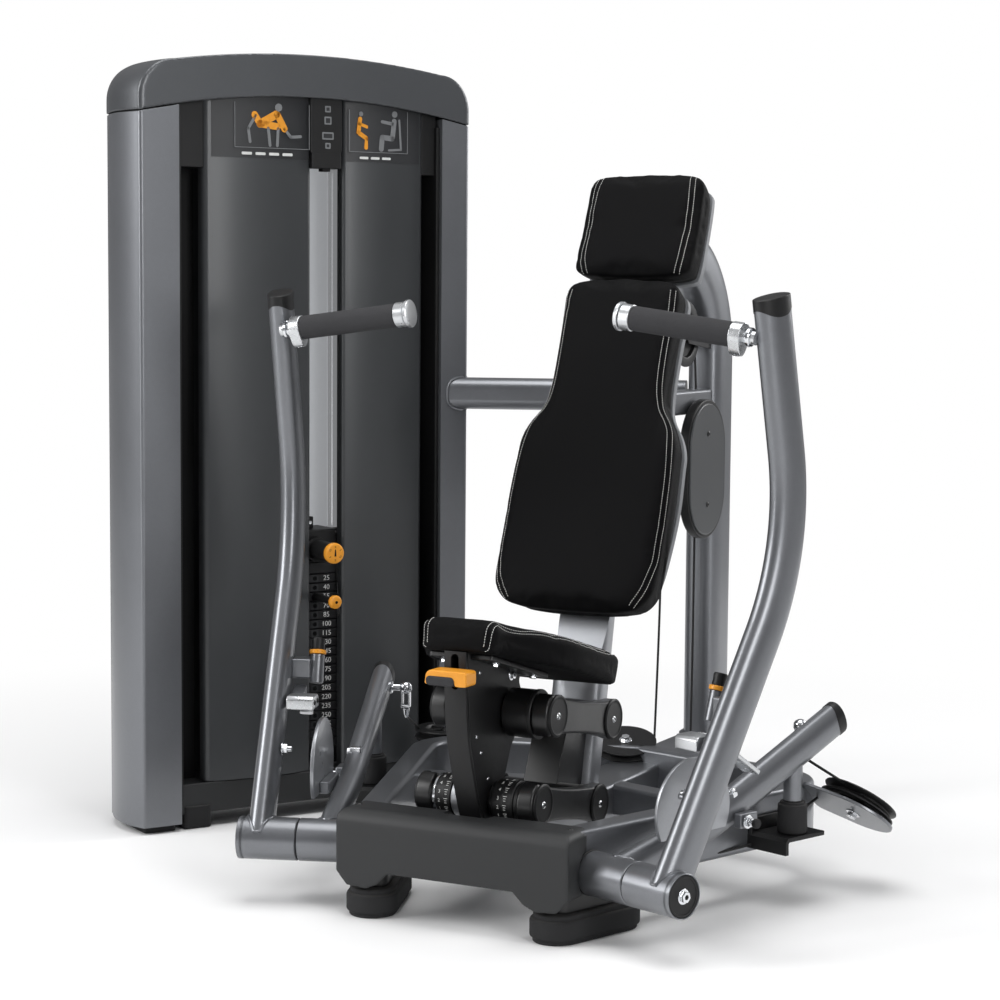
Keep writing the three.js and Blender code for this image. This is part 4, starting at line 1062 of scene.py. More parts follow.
part = Piece(TOWER)
slab(part, HEAD_Z + 0.4, HEAD_Z + 24)
block = rect(STACK_X - 62, STACK_X + 62, HEAD_Z + 20, HEAD_Z + 92, 9)
part.use("mould_dark").prism_y(block, 51, 146, bevel=4)
part.box(STACK_X - 100, STACK_X + 100, 82, 118, HEAD_Z + 66, HEAD_Z + 91, bevel=4, radius=8)
for x in ROD_X:
    part.use("black_steel").tube((x, STACK_Y, HEAD_Z + 24), (x, STACK_Y, HEAD_Z + 66), 16, 10.6, 1.5)
# small window beside the dial, with tick marks
window = rect(STACK_X - 52, STACK_X - 26, HEAD_Z + 32, HEAD_Z + 76, 3)
part.use("placard").prism_y(window, 50.5, 51.2, bevel=0)
for k in range(5):
    z = HEAD_Z + 8 * k
    tick = rect(STACK_X - 46, STACK_X - 34 - 3 * (k % 2), z + 37, z + 38.6, 0.3, 1)
    part.use("ink").prism_y(tick, 50.2, 50.6, bevel=0)
for x in (STACK_X - 52, STACK_X + 52):
    part.use("black_steel").button((x, 51, HEAD_Z + 84), (0, -1, 0), 4.5, 2.4)
part.make("stack_head_block", "stack", "black_steel", "stack_head")

# increment dial: knurled body, orange face, digits and pointer
part = Piece(TOWER)
knurl = []
for i in range(72):
    radius = 26.6 - (0.9 if i % 2 else 0)
    knurl.append((STACK_X + radius * cos(2 * pi * i / 72), DIAL_Z + radius * sin(2 * pi * i / 72)))
part.use("mould_dark").prism_y(knurl, 34, 50.5, bevel=1.2, steps=2)
part.lathe([(0, 0), (0, 21), (66, 20.6), (70, 19.6), (70, 0)], (STACK_X, 34, DIAL_Z), (0, -1, 0))
part.use("orange").lathe([(0, 0), (0, 21.4), (6.5, 21.4), (9, 20.6), (10.5, 18.6), (11, 16), (11, 0)],
                         (STACK_X, -36, DIAL_Z), (0, -1, 0), 56)
for i, digits in enumerate(("0", "5", "10", "0", "5", "10")):
    a = radians(90 - 60 * i)
    place = shift(STACK_X + 13.4 * cos(a), -47.1, DIAL_Z + 13.4 * sin(a)) @ UPRIGHT
    part.use("dark").text(digits, 6.2, place @ turn(a - pi / 2))
pointer = moved([(-2.2, -6), (2.2, -6), (1.2, 7), (0, 9), (-1.2, 7)], STACK_X, DIAL_Z)
part.prism_y(pointer, -47.3, -46.9, bevel=0)
part.make("dial_knob", "dial", "orange_plastic", "increment_dial")

part = Piece(TOWER)
part.use("chrome").cyl((STACK_X, -43, PIN_Z), (STACK_X, 86, PIN_Z), 4.2, 1, 24)
part.use("mould_dark").lathe([(0, 0), (0, 8.5), (2, 9), (40, 7.5), (78, 8.6), (84, 9.5), (84, 0)],
                             (STACK_X, 43, PIN_Z), (0, -1, 0), 36)
part.use("orange").lathe([(0, 0), (0, 12), (1.5, 13.8), (7, 14), (9.5, 12.6), (11, 10), (11.4, 0)],
                         (STACK_X, -41, PIN_Z), (0, -1, 0))
part.use("dark").lathe([(0, 0), (0, 3), (0.4, 3), (0.4, 0)], (STACK_X, -52.4, PIN_Z), (0, -1, 0), 24)
part.make("selector_pin_knob", "selector", "orange_plastic", "selector_pin")

LANYARD = [(STACK_X + 6, -38, PIN_Z - 10), (STACK_X + 16, -28, PIN_Z - 30),
           (STACK_X + 34, 4, PIN_Z - 22), (STACK_X + 46, 34, PIN_Z + 16),
           (STACK_X + 50, 47, HEAD_Z + 30)]
lanyard = Piece(TOWER).use("cable").wire(LANYARD, 1.3, 8).make(
    "selector_lanyard", None, "black_steel")
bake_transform(lanyard)

# Belt from the head block up to its top in the cap, carried with the stack as one piece.
BELT_Z, BELT_TOP = HEAD_Z + 92.6, 1440
belt_length = BELT_TOP - HEAD_Z - 92.6
belt_section = moved(rect(-13, 13, -2, 2, 0.8, 2), STACK_X, STACK_Y)
part = Piece(TOWER).use("belt")
part.loft([[(x, y, BELT_Z + belt_length * i / 60) for x, y in belt_section] for i in range(61)])
belt = part.make("stack_lift_belt", "stack", "black_steel", "stack_belt", weighted=False)
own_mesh(belt)

part = Piece(TOWER)
part.use("black_steel").box(STACK_X - 18, STACK_X + 18, 90, 110, HEAD_Z + 90, HEAD_Z + 116, bevel=2)
for x in (STACK_X - 9, STACK_X + 9):
    part.use("chrome").hexbolt((x, 90, HEAD_Z + 104), (0, -1, 0), 8, 4)
part.make("stack_belt_clamp", "stack", "black_steel")

# ---------------------------------------------------------------- base frame
SLEEVE = 108.0                     # room along the pivot shaft for one sleeve
RAIL_X = -2 * SLEEVE - 0.5 - 25    # centre of the side rail in the press frame: gap and half width

for side, name in SIDES:
    part = Piece().use("frame")
    path = fillet(side_point(side, RAIL_X, -62), side_point(side, RAIL_X, 640), (0, 800, 0), 95, 16)
    part.sweep(rect(85, 188, -25, 25, 9, 5), path, UP)
    part.sweep(rect(100, 158, -25, 25, 8, 5), [(0, 590, 0), (side * 365, 470, 0)], UP)
    part.bead([(side * 352 + x * 0.31 * side, 474 + x * 0.94, 129 + z)
               for x, z in rect(-27, 27, -31, 31, 9, 6)], 2.4)
    part.make("base_rail_" + name, "frame", "frame_metallic", "base_frame")

part = Piece()
part.use("frame").prism_y(rect(-50, 50, 90, 160, 8, 5), 40, 1185)
part.use("mould_dark").prism_y(rect(-46, 46, 94, 156, 6, 4), 1184, 1188)
part.use("frame").prism_x(rect(16, 66, 96, 168, 7, 3), -175, 175, bevel=4)
part.box(-48, 48, 1080, 1180, 42.6, 95, bevel=2, radius=6)
part.bead([(x, y + 464, 161) for x, y in superellipse(108, 66, 48, 3)], 2.6)
part.make("base_spine", "frame", "frame_metallic", "base_frame")

part = Piece().use("frame")
part.sweep(rect(96, 160, -30, 30, 8, 5), [(-150, 745, 0), (-498, 852, 0)], UP)
part.sweep(rect(46, 88, -30, 30, 6, 4), [(-430, 831, 0), (-520, 858.5, 0)], UP)
part.make("base_tower_member", "frame", "frame_metallic", "base_frame")

# low pulleys, by side: centre and axis
PULLEY_CENTRE = {1: Vector((509, 627, 160)), -1: Vector((-432, 780, 177))}
PULLEY_AXIS = {1: Vector((0.27, 0.53, 0.81)).normalized(), -1: Vector(UP)}
# half profile up to the mid-plane: distance along the axis, radius
LOW_PULLEY = [(-10.6, 11), (-10.6, 17), (-4, 18), (-4, 46), (-9.8, 49), (-10.8, 52), (-10.8, 66),
              (-10, 71), (-8, 72), (-6.5, 71), (-1.4, 61)]
COLUMN_PULLEY = [(-12, 9), (-12, 20), (-5, 21), (-5, 44), (-11, 47), (-12, 50), (-12, 62),
                 (-10.6, 66), (-8, 66), (-1.4, 55)]


def symmetric(half, middle=()):
    """Closed profile from its half on the negative side."""
    return [*half, *middle, *[(-t, r) for t, r in half[::-1]], half[0]]


def bumper_shelf(side, name):
    """Dark angle on the rail."""
    part = Piece(press_frame(side)).use("mould_dark")
    line = [(401, 96), (401, 118), (405, 122.5), (502, 122.5)]
    part.prism_x(moved(strip(line, 8), 0, -PIVOT_Z), -219, -125, bevel=1.2)
    part.box(-222, -208, 398, 507, -20, 36, bevel=2)
    for y in (412, 494):
        part.use("black_steel").hexbolt((-208, y, 20), (1, 0, 0), 12, 6, 10)
    part.make("bumper_shelf_" + name, "frame", "black_steel", "base_frame")


def pulley_tongue(part, side, centre, axis):
    """Plate from the rail that widens to an oval under the pulley."""
    root = side_point(side, RAIL_X + 10, 575, 150)
    along = (centre - root) - axis * (centre - root).dot(axis)
    length = along.length
    along.normalize()
    angles = [radians(-90 + 180 * i / 40) for i in range(41)]
    oval = [(length - 8 + 86 * cos(a), 66 * sin(a)) for a in angles]
    outline = round_corners([(-5, -32), (length - 92, -58), *oval, (length - 92, 58), (-5, 32)],
                            [0, 24] + [0] * 41 + [24, 0])
    place = axes(along, axis.cross(along), axis, centre - along * length)
    part.use("frame").prism(outline, 0, 6, place, bevel=1.3)


def pulley_plate(side, name):
    axis, centre = PULLEY_AXIS[side], PULLEY_CENTRE[side]
    below = centre + axis * -23
    part = Piece()
    if side > 0:
        pulley_tongue(part, side, below, axis)
    else:
        part.use("frame").cyl((centre.x, centre.y, 150), (centre.x, centre.y, 159), 58, 2.0, 64)
    part.use("black_steel").cyl(below + axis * 6, centre + axis * 16, 8, 1, 28)
    part.use("chrome").hexbolt(centre + axis * 11.5, axis, 17, 8, 14)
    if side > 0:
        part.hexbolt(below, -axis, 17, 8, 14)
    part.make("pulley_plate_" + name, "frame", "frame_metallic", "base_frame")


def low_pulley(side, name):
    """Grooved, spoked pulley."""
    axis, centre = PULLEY_AXIS[side], PULLEY_CENTRE[side]
    part = Piece().use("mould_dark").lathe(symmetric(LOW_PULLEY, [(0, 60)]), centre, axis, 72)
    for i in range(6):
        place = facing(centre, axis) @ turn(radians(60 * i))
        part.prism(rect(16, 49, -3, 3, 1.5, 2), -8, 8, place, bevel=1)
    part.use("chrome").tube(centre - axis * 11, centre + axis * 11, 10.8, 8.2, 0.6, 32)
    part.make("low_pulley_" + name, "pulley_" + name, "moulded_black", "cable_pulley_" + name)


for side, name in SIDES:
    bumper_shelf(side, name)
    pulley_plate(side, name)
    low_pulley(side, name)


# ---------------------------------------------------------------- feet and front cover
def foot_outline(scale):
    """Capsule along y, narrowed across and, less, along."""
    middle = 68
    points = [(-y, x) for x, y in capsule(0, 2 * middle, 0, 46, 24)]
    return [(x * scale, (y - middle) * (1 - (1 - scale) * 0.4) + middle) for x, y in points]


for side, name in SIDES:
    part = Piece(shift(side * 180, 42, 0) @ turn(-side * TOE))
    part.use("rubber").prism(foot_outline(0.9), 0.0, 9)
    part.prism(foot_outline(1.0), 7, 41.5, bevel=5, steps=5, top_bevel=7)
    part.prism(foot_outline(0.88), 39, 49.8, bevel=3, steps=4)
    for i in range(7):
        part.use("dark").prism(rect(-34, 34, 6 + 20 * i, 9 + 20 * i, 1, 2), 0.0, 0.6, bevel=0)
    part.make("foot_pad_" + name, "frame", "foot_rubber", "foot_front_" + name)
    centre = Vector((side * 180, 42, 0)) + Vector((side * sin(TOE), cos(TOE), 0)) * 60
    part = Piece()
    part.use("black_steel").prism(rect(-28, 28, -75, 75, 20, 5), 50.6, 95,
                                  shift(centre.x, centre.y, 0) @ turn(-side * TOE), bevel=1)
    part.make("foot_leg_" + name, "frame", "black_steel", "base_frame")

part = Piece().use("rubber")
part.prism(rect(-140, 140, 1130 - 32, 1130 + 32, 31, 8), 0, 12, bevel=2)
part.prism(rect(-150, 150, 1130 - 42, 1130 + 42, 41, 10), 8, 42, bevel=6, steps=5)
part.make("foot_pad_rear", "frame", "foot_rubber", "foot_rear")

# front cover: the moulding is the CAD shell with softened edges
cover = bpy.data.objects.new("front_cover_moulding", frame["nodes"]["front_cover"].data.copy())
bpy.context.scene.collection.objects.link(cover)
cover.data.materials.clear()
remesh(cover, voxel=0.0021, smooth=9)
cover.data.materials.append(MATERIALS["mould"])
finish_mesh(cover, 75)
attach(cover, "frame", "front_cover")

part = Piece().use("black_steel")
for side in (1, -1):
    part.button((side * 205, 40, 191.6), UP, 5, 2.2)
part.make("cover_screws", "frame", "black_steel")

# ---------------------------------------------------------------- press side assemblies
# In the press frame: x outward along the shaft, y rearward, z up from the pivot.
X_AXIS = Vector((1, 0, 0))
HUB_R = 38                           # outer radius of the pivot sleeves
LEVER_X = -157
LEVER_PATH = fillet((LEVER_X, 0, 5), (LEVER_X, 235, 64), (LEVER_X, 560, 203), 260, 14)
LEVER_OVAL = superellipse(62, 42, 48)
ARM_PATH = fillet((-37, 0, 0), (-37, 303, 545), (-25, 219, 954), 450, 28)
ARM_OVAL = superellipse(44, 76, 48)
CABLE_EYE = Vector((-208, 528, 188))
CLAMP_TOP = Vector((-208, 530, 148))
CLAMP_DIR = Vector((0, 0.35, -0.94)).normalized()
HANDLE_IN, HANDLE_OUT = Vector((-47, 188, 902)), Vector((-285.2, 122.9, 934))
BARREL = Vector((-102, 170.5, 254.7))           # foot of the stop pin barrel
BARREL_DIR = Vector((0, 0.29, 1)).normalized()


def end_cap(part, section, base, along, height, dip, grow, dome=3.0):
    """Moulded cap over an oval tube: lower edge dips on the broad faces, domed top."""
    first, second = cross_axes(along, X_AXIS)
    half_width = max(abs(x) for x, y in section)
    shoulder = height - dome - 1.5
    # scale of the section, height, dip of the edge
    stations = [(0.962, 0.3, dip), (0.985, 0.0, dip), (1.0, 0.8, dip), (1.0, shoulder, 0)]
    for i in range(1, 7):
        a = pi / 2 * i / 6
        stations.append((1 - 0.10 * (1 - cos(a)), shoulder + dome * 0.8 * sin(a), 0))
    stations += [(0.6, height - 0.6, 0), (0.25, height - 0.15, 0)]
    rings = []
    for scale, t, drop in stations:
        scale *= grow
        rings.append([base + first * (x * scale) + second * (y * scale)
                      + along * (t - drop * (abs(x) / half_width) ** 2.2) for x, y in section])
    part.loft(rings)


def sleeve_weld(part, path, across, outline, radius):
    """Weld bead where an oval tube meets the pivot sleeve."""
    along = (path[1] - path[0]).normalized()
    first, second = cross_axes(along, Vector(across))
    points = []
    for x, y in outline:
        q = path[0] + first * x + second * y
        a, b = along.y ** 2 + along.z ** 2, q.y * along.y + q.z * along.z
        c = q.y ** 2 + q.z ** 2 - HUB_R ** 2
        points.append(q + along * ((-b + sqrt(max(0, b * b - a * c))) / a))
    part.bead(points, radius)


def pivot_shaft(place, name):
    part = Piece(place).use("chrome")
    part.cyl((-216.2, 0, 0), (-9, 0, 0), 23.6)
    part.cyl((-216.2, 0, 0), (-211, 0, 0), 34)
    part.make("shaft_" + name, "frame", "bright_tube", "pivot_shaft_" + name)


def lever_tube(place, name):
    part = Piece(place)
    part.use("frame").tube((-210, 0, 0), (-109, 0, 0), HUB_R, 25, 1.6, 64)
    # dark ring in the gap between the lever sleeve and the arm sleeve: painted shade
    part.use("dark").tube((-109.6, 0, 0), (-107.6, 0, 0), 36.4, 25, 0.2, 64)
    part.use("rubber").tube((-214.5, 0, 0), (-209.5, 0, 0), 39.2, 25, 1.2, 64)
    part.use("frame").sweep(LEVER_OVAL, LEVER_PATH, UP)
    sleeve_weld(part, LEVER_PATH, UP, superellipse(64, 44, 64), 2.6)
    # stub over the bumper
    part.cyl((LEVER_X, 450, 69), (LEVER_X, 450, 150), 17, 1.5)
    part.use("black_steel").cyl((LEVER_X, 450, 67.6), (LEVER_X, 450, 71), 18.2, 0.8)
    # chrome clevis on top and the stop screw with its rubber tip
    part.use("chrome").box(-168, -146, 262, 292, 96, 116, bevel=2.5)
    part.hexbolt((-146, 277, 106), X_AXIS, 11, 5, 9)
    part.use("frame").box(-135, -118, 268, 312, 50, 76, bevel=3)
    part.box(-140, -122, 104, 196, 60, 82, bevel=3)
    part.use("chrome").cyl((-118.5, 279, 63), (-96, 279, 63), 5, 0.6, 24)
    part.hexbolt((-112, 279, 63), X_AXIS, 15, 7, 12)
    part.use("rubber").cyl((-97, 279, 63), (-88, 279, 63), 8.5, 2, 32)
    part.make("lever_tube_" + name, "lever_" + name, "frame_metallic", "lever_" + name)


def sector_plate(place, name):
    """Plate with a row of holes at one radius about the pivot."""
    part = Piece(place).use("bright")
    part.prism_x(arc(145, 103, 90, -27, 209, 60), -122, -115, bevel=0.9)
    plate = part.make("sector_plate_" + name, None, "bright_tube", weighted=False)
    holes = [(172 * cos(radians(a)), 172 * sin(radians(a))) for a in (50, 39, 28)]
    cut(plate, [Piece(place).cyl((-130, y, z), (-100, y, z), 6.3, 0.1, 28).solid()
                for y, z in holes])
    finish_mesh(plate, 35)
    attach(plate, "lever_" + name, "lever_" + name)


def lever_end(place, name):
    """End cap, then the swivel stud on the inner face with its ball eye and cable clamp."""
    along = (LEVER_PATH[-1] - LEVER_PATH[-2]).normalized()
    part = Piece(place).use("mould_dark")
    # the broad faces look along x here, so the section is turned for the dip
    end_cap(part, [(y, x) for x, y in LEVER_OVAL], LEVER_PATH[-1] - along * 3.0, along, 16,
            dip=9.0, grow=1.035)
    part.make("lever_end_cap_" + name, "lever_" + name, "moulded_black", "lever_cap_" + name)
    part = Piece(place).use("chrome")
    part.lathe([(0, 0), (0, 13), (3, 13.5), (5, 12), (6, 7), (24, 7), (24, 0)],
               (-177, 528, 188), -X_AXIS, 40)
    part.lathe([(-12, 0), (-12, 5), (-9, 9.5), (-4, 12), (0, 12.6), (4, 12), (9, 9.5), (12, 5),
                (12, 0)], CABLE_EYE, -X_AXIS, 40)
    part.box(-217, -213, 521, 539, 152, 190, bevel=1.5)
    part.box(-203, -199, 521, 539, 152, 190, bevel=1.5)
    part.box(-217, -199, 521, 539, 148, 154, bevel=1.5)
    part.lathe([(0, 0), (0, 6.5), (3, 7), (14, 6), (22, 3.6), (22, 0)], CLAMP_TOP, CLAMP_DIR, 28)
    part.make("cable_eye_" + name, "lever_" + name, "chrome_rod")


def lever_cables(place, side, name):
    """Cable from the clamp to the low pulley, part way round it and away under the frame."""
    clamp = place @ (CLAMP_TOP + CLAMP_DIR * 20)
    centre, axis = PULLEY_CENTRE[side], PULLEY_AXIS[side]
    away = (centre - clamp) - axis * (centre - clamp).dot(axis)
    away.normalize()
    edge = axis.cross(away).normalized() * (-side)
    touch = centre + edge * 62 - away * 6
    part = Piece().use("cable").wire([clamp.lerp(touch, i / 24) for i in range(25)], 2.6, 10, smooth=0)
    cable = part.make("lever_cable_" + name, None, "black_steel")
    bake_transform(cable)
    wrap = [centre + edge * x + away * y
            for x, y in arc(0, 0, 62, -6, 144 if side > 0 else 100, 12)]
    if side > 0:
        tail = [wrap[-1] - away * 90 - axis * 14, side_point(side, RAIL_X + 40, 470, 112),
                side_point(side, RAIL_X + 20, 300, 96)]
    else:
        tail = [(-300, 850, 174), (-160, 850, 170), (-60, 862, 178)]
    part = Piece().use("cable").wire(wrap + tail, 2.6, 10, smooth=3)
    part.make("low_cable_" + name, "frame", "black_steel")


def press_arm(place, name):
    """Arm tube, hub cover and end cap."""
    body = "arm_" + name
    part = Piece(place).use("frame")
    part.tube((-107, 0, 0), (-5, 0, 0), HUB_R, 25, 1.4, 64)
    part.tube((-12, 0, 0), (0, 0, 0), HUB_R, 36.2, 0.7, 64)
    part.sweep(ARM_OVAL, ARM_PATH, X_AXIS)
    sleeve_weld(part, ARM_PATH, X_AXIS, superellipse(46, 78, 72), 2.8)
    part.make("press_arm_tube_" + name, body, "frame_metallic", "press_arm_" + name)
    part = Piece(place)
    part.use("mould_dark").lathe([(-8, 0), (-8, 35.4), (-3.2, 35.4), (-1.4, 34.4), (-1.2, 31),
                                  (-2.4, 30.4), (-2.8, 25), (-2.4, 12), (-2.2, 0)],
                                 (0, 0, 0), X_AXIS, 64)
    part.use("chrome").hexbolt((-2.4, 0, 0), X_AXIS, 17, 6.5, 13, socket=True)
    part.make("hub_cover_" + name, body, "moulded_black", "hub_cap_" + name)
    along = (ARM_PATH[-1] - ARM_PATH[-2]).normalized()
    part = Piece(place).use("mould_dark")
    end_cap(part, ARM_OVAL, ARM_PATH[-1] - along * 2, along, 20, dip=15.0, grow=1.03, dome=2.5)
    part.make("arm_end_cap_" + name, body, "moulded_black", "arm_cap_" + name)


def handle(place, name):
    start = HANDLE_IN
    along = (HANDLE_OUT - HANDLE_IN).normalized()
    length = (HANDLE_OUT - HANDLE_IN).length
    down, _ = cross_axes(along, Vector((0, 0, -1)))
    part = Piece(place)
    part.use("alu").lathe([(-14, 0), (-14, 12), (length - 20, 12), (length - 20, 0)],
                          start, along, 32)
    part.use("chrome").lathe([(-6, 0), (-6, 15), (-4.5, 16.5), (0, 16.5), (1, 13), (6, 12.6), (7, 0)],
                             start, along, 40)
    egg = []     # collar, drawn out downward
    for x, y in circle(1, 64):
        radius = 22.6 + (11.5 * max(0, y) ** 5)
        egg.append((x * radius * (1 - 0.12 * max(0, y) ** 3), y * radius))
    part.use("alu").prism(egg, 9, 30, axes(down.cross(along), down, along, start), bevel=1.6)
    screw = start + along * 19.5
    # dark disc inside the chrome ring: painted shade of the screw socket
    part.use("dark").cyl(screw + down * 33.2, screw + down * 34.3, 5.4, 0.2, 24)
    part.use("chrome").tube(screw + down * 33.5, screw + down * 34.6, 5.8, 3.4, 0.3, 24)
    # end collar: distance from the end of the bar, radius
    collar = [(-28, 0), (-28, 21.4), (-27, 22.6), (-10, 22.6), (-9, 21.6), (-9, 18.5), (-7.4, 18.5),
              (-7.4, 24), (-6.2, 25), (-1.4, 25), (-0.2, 24), (0, 21), (0.2, 14), (0.1, 0)]
    part.use("alu").lathe([(length + t, r) for t, r in collar], start, along, 64)
    screw = start + along * (length - 18)
    part.use("dark").cyl(screw + down * 22.0, screw + down * 22.9, 2.6, 0.2, 20)
    part.make("handle_bar_" + name, "arm_" + name, "aluminium", "handle_" + name)
    ribs = []
    for i in range(45):
        t = 34 + (length - 34 - 32) * i / 44
        ribs += [(t - 0.9, 21.5), (t, 21.15)]
    profile = [(30.4, 12.4), (30.4, 20.4), (31.4, 21.5), *ribs, (length - 30.0, 21.5),
               (length - 28.6, 20.6), (length - 28.4, 12.4), (30.4, 12.4)]
    part = Piece(place).use("grip").lathe(profile, start, along, 56)
    part.make("handle_grip_" + name, "arm_" + name, "grip_rubber", "grip_" + name)


def stop_bracket(place, name):
    """Block and bent plate with two slots."""
    part = Piece(place).use("alu")
    block = [(92, 216), (92, 234), (97, 240), (132, 240), (141, 234), (141, 216)]
    part.prism_x(round_corners(block, [2, 5, 5, 5, 5, 2]), -113, -63, bevel=1.6)
    part.prism_x(strip([(136, 236), (143, 233), (252, 160.5)], 7), -102, -63, bevel=1.4)
    bracket = part.make("stop_bracket_plate_" + name, None, "aluminium", weighted=False)
    along = Vector((0, 108, -72)).normalized()
    normal = Vector((0, 72, 108)).normalized()
    cutters = []
    for t in (48, 84):
        slot = axes(X_AXIS, normal.cross(X_AXIS), normal, Vector((-82, 146, 233)) + along * t)
        cutters.append(Piece(place).prism(capsule(-7, 7, 0, 5.5, 10), -14, 14, slot, bevel=0).solid())
    cut(bracket, cutters)
    finish_mesh(bracket, 35)
    attach(bracket, "arm_" + name, "stop_bracket_" + name)


def stop_pin(place, name):
    """Barrel on the arm, then its pin with an orange ring and dark knob."""
    part = Piece(place).use("frame")
    web = round_corners([(141, 217), (141, 236), (176, 250), (176, 226)], 3)
    part.prism_x(web, -84, -62)
    part.cyl(BARREL - BARREL_DIR * 2, BARREL + BARREL_DIR * 51.2, 13, 1.5)
    part.box(-94, -56, 160, 196, 262, 298, bevel=4, radius=5)
    for y in (104, 128):
        part.use("black_steel").button((-113, y, 228), -X_AXIS, 5, 2.4)
    part.use("chrome").hexbolt((-60, 74, 148), -X_AXIS, 15, 8, 12)
    part.cyl((-68, 74, 148), (-78, 74, 148), 5, 0.8, 24)
    part.make("stop_barrel_" + name, "arm_" + name, "frame_metallic")
    part = Piece(place)
    part.use("orange").lathe([(51.6, 0), (51.6, 14.6), (52.6, 15.6), (58.4, 15.6), (59.4, 14.4),
                              (59.4, 0)], BARREL, BARREL_DIR)
    part.use("mould_dark").lathe([(59.3, 0), (59.3, 11.4), (62, 12.4), (70, 11.8), (78, 12.6),
                                  (81.5, 11), (82, 7), (82, 0)], BARREL, BARREL_DIR, 40)
    part.use("chrome").lathe([(-1.5, 0), (-1.5, 6), (40, 6), (51.6, 6), (51.6, 0)],
                             BARREL, BARREL_DIR, 24)
    part.make("stop_knob_" + name, "pin_" + name, "orange_plastic", "stop_pin_" + name)


def bumper(side, name):
    profile = [(127.5, 0), (127.5, 26), (129, 27), (136, 27.2), (150, 26.6), (174, 26.6), (178, 26),
               (179, 24.6), (179.4, 22.8), (183, 22.4), (184, 0)]
    part = Piece().use("rubber").lathe(profile, side_point(side, LEVER_X, 450), UP, 56)
    part.make("lever_bumper_" + name, "frame", "foot_rubber", "bumper_" + name)


for side, name in SIDES:
    place = press_frame(side)
    pivot_shaft(place, name)
    lever_tube(place, name)
    sector_plate(place, name)
    lever_end(place, name)
    lever_cables(place, side, name)
    press_arm(place, name)
    handle(place, name)
    stop_bracket(place, name)
    stop_pin(place, name)
    bumper(side, name)

# ---------------------------------------------------------------- pad frames and boards
PAD_T, BOARD_T = 72.0, 14.0


def pad_frame(start, end, across=1):
    """Frame from a line in (Y, Z): y along the pad, z out of its face."""
    along = Vector((0, end[0] - start[0], end[1] - start[1])).normalized()
    return axes((across, 0, 0), along, (0, -along.z, along.y), (0, *start))


BACK = pad_frame((434, 507), (669, 1114.5))
HEAD = pad_frame((697, 1128), (780, 1325))
SEAT = pad_frame((33, 536), (397, 434), -1)

# half outlines: x from the centre line, y along the pad
BACK_HALF = [(0, -6), (95, -5), (138, 6), (163, 34), (170, 75), (171, 200), (168, 290), (165, 330),
             (152, 365), (131, 398), (124, 430), (122, 500), (124, 600), (122, 630), (110, 649),
             (80, 659), (0, 664)]
HEAD_HALF = [(0, -8), (70, -7), (112, 0), (127, 20), (128, 100), (126, 170), (121, 196),
             (104, 210), (70, 216), (0, 219)]
SEAT_HALF = [(0, -20), (60, -18), (76, -4), (82, 30), (120, 90), (146, 160), (154, 260),
             (150, 340), (130, 372), (0, 380)]
BACK_BOARD_HALF = [(0, 24), (84, 25), (124, 34), (150, 56), (162, 90), *BACK_HALF[5:]]


def mirrored(points):
    return [(-x, y) for x, y in points]


def pad_outline(half):
    """Smooth closed outline from half of it: the runs across the middle stay straight."""
    points = [half[0], *spline(half[1:-1], 6), half[-1]]
    return points + mirrored(points[1:-1][::-1])


for name, half, place, node, screw_rows in (
        ("back_pad_board", BACK_BOARD_HALF, BACK, "back_board", (60, 330, 560)),
        ("head_pad_board", HEAD_HALF, HEAD, "head_board", (40, 150))):
    rear = -PAD_T - 0.6 - BOARD_T
    part = Piece().use("board")
    part.prism(offset(pad_outline(half), 9), rear, -PAD_T - 0.4, place, bevel=2.2, top_bevel=1.2)
    for y in screw_rows:
        for x in (-60, 60):
            part.use("black_steel").button(place @ Vector((x, y, rear)),
                                           place.to_3x3() @ Vector((0, 0, -1)), 7, 3.2)
    part.make(name, "frame", "pad_board", node)


# ---------------------------------------------------------------- upholstery
def get_vectors(mesh, attribute="co"):
    values = np.empty(len(mesh.vertices) * 3)
    mesh.vertices.foreach_get(attribute, values)
    return values.reshape(-1, 3)


def transform(points, matrix):
    matrix = np.array(matrix)
    return points @ matrix[:3, :3].T + matrix[:3, 3]


def cushion_form(name, half, place, bottom, top, inset, taper):
    """Closed cushion shape, narrower at the board and rounded at both edges."""
    outline = offset(pad_outline(half), inset)
    lower, upper = 5, 12        # edge roundings
    stations = []               # inset, z
    for k in range(7):
        a = pi / 2 * k / 6
        stations.append((lower * (1 - sin(a)), bottom + lower * (1 - cos(a))))
    for f in (0.25, 0.5, 0.75):
        stations.append((0, bottom + lower + (top - upper - bottom - lower) * f))
    for k in range(6, -1, -1):
        a = pi / 2 * k / 6
        stations.append((upper * (1 - sin(a)), top - upper * (1 - cos(a))))
    rings = []
    for edge, z in stations:
        edge += taper * (1 - (z - bottom) / (top - bottom)) ** 1.6
        rings.append([(x, y, z) for x, y in (offset(outline, edge) if edge > 0.01 else outline)])
    ob = Piece(place).loft(rings).solid(name)
    remesh(ob, voxel=0.005, smooth=3)
    return ob


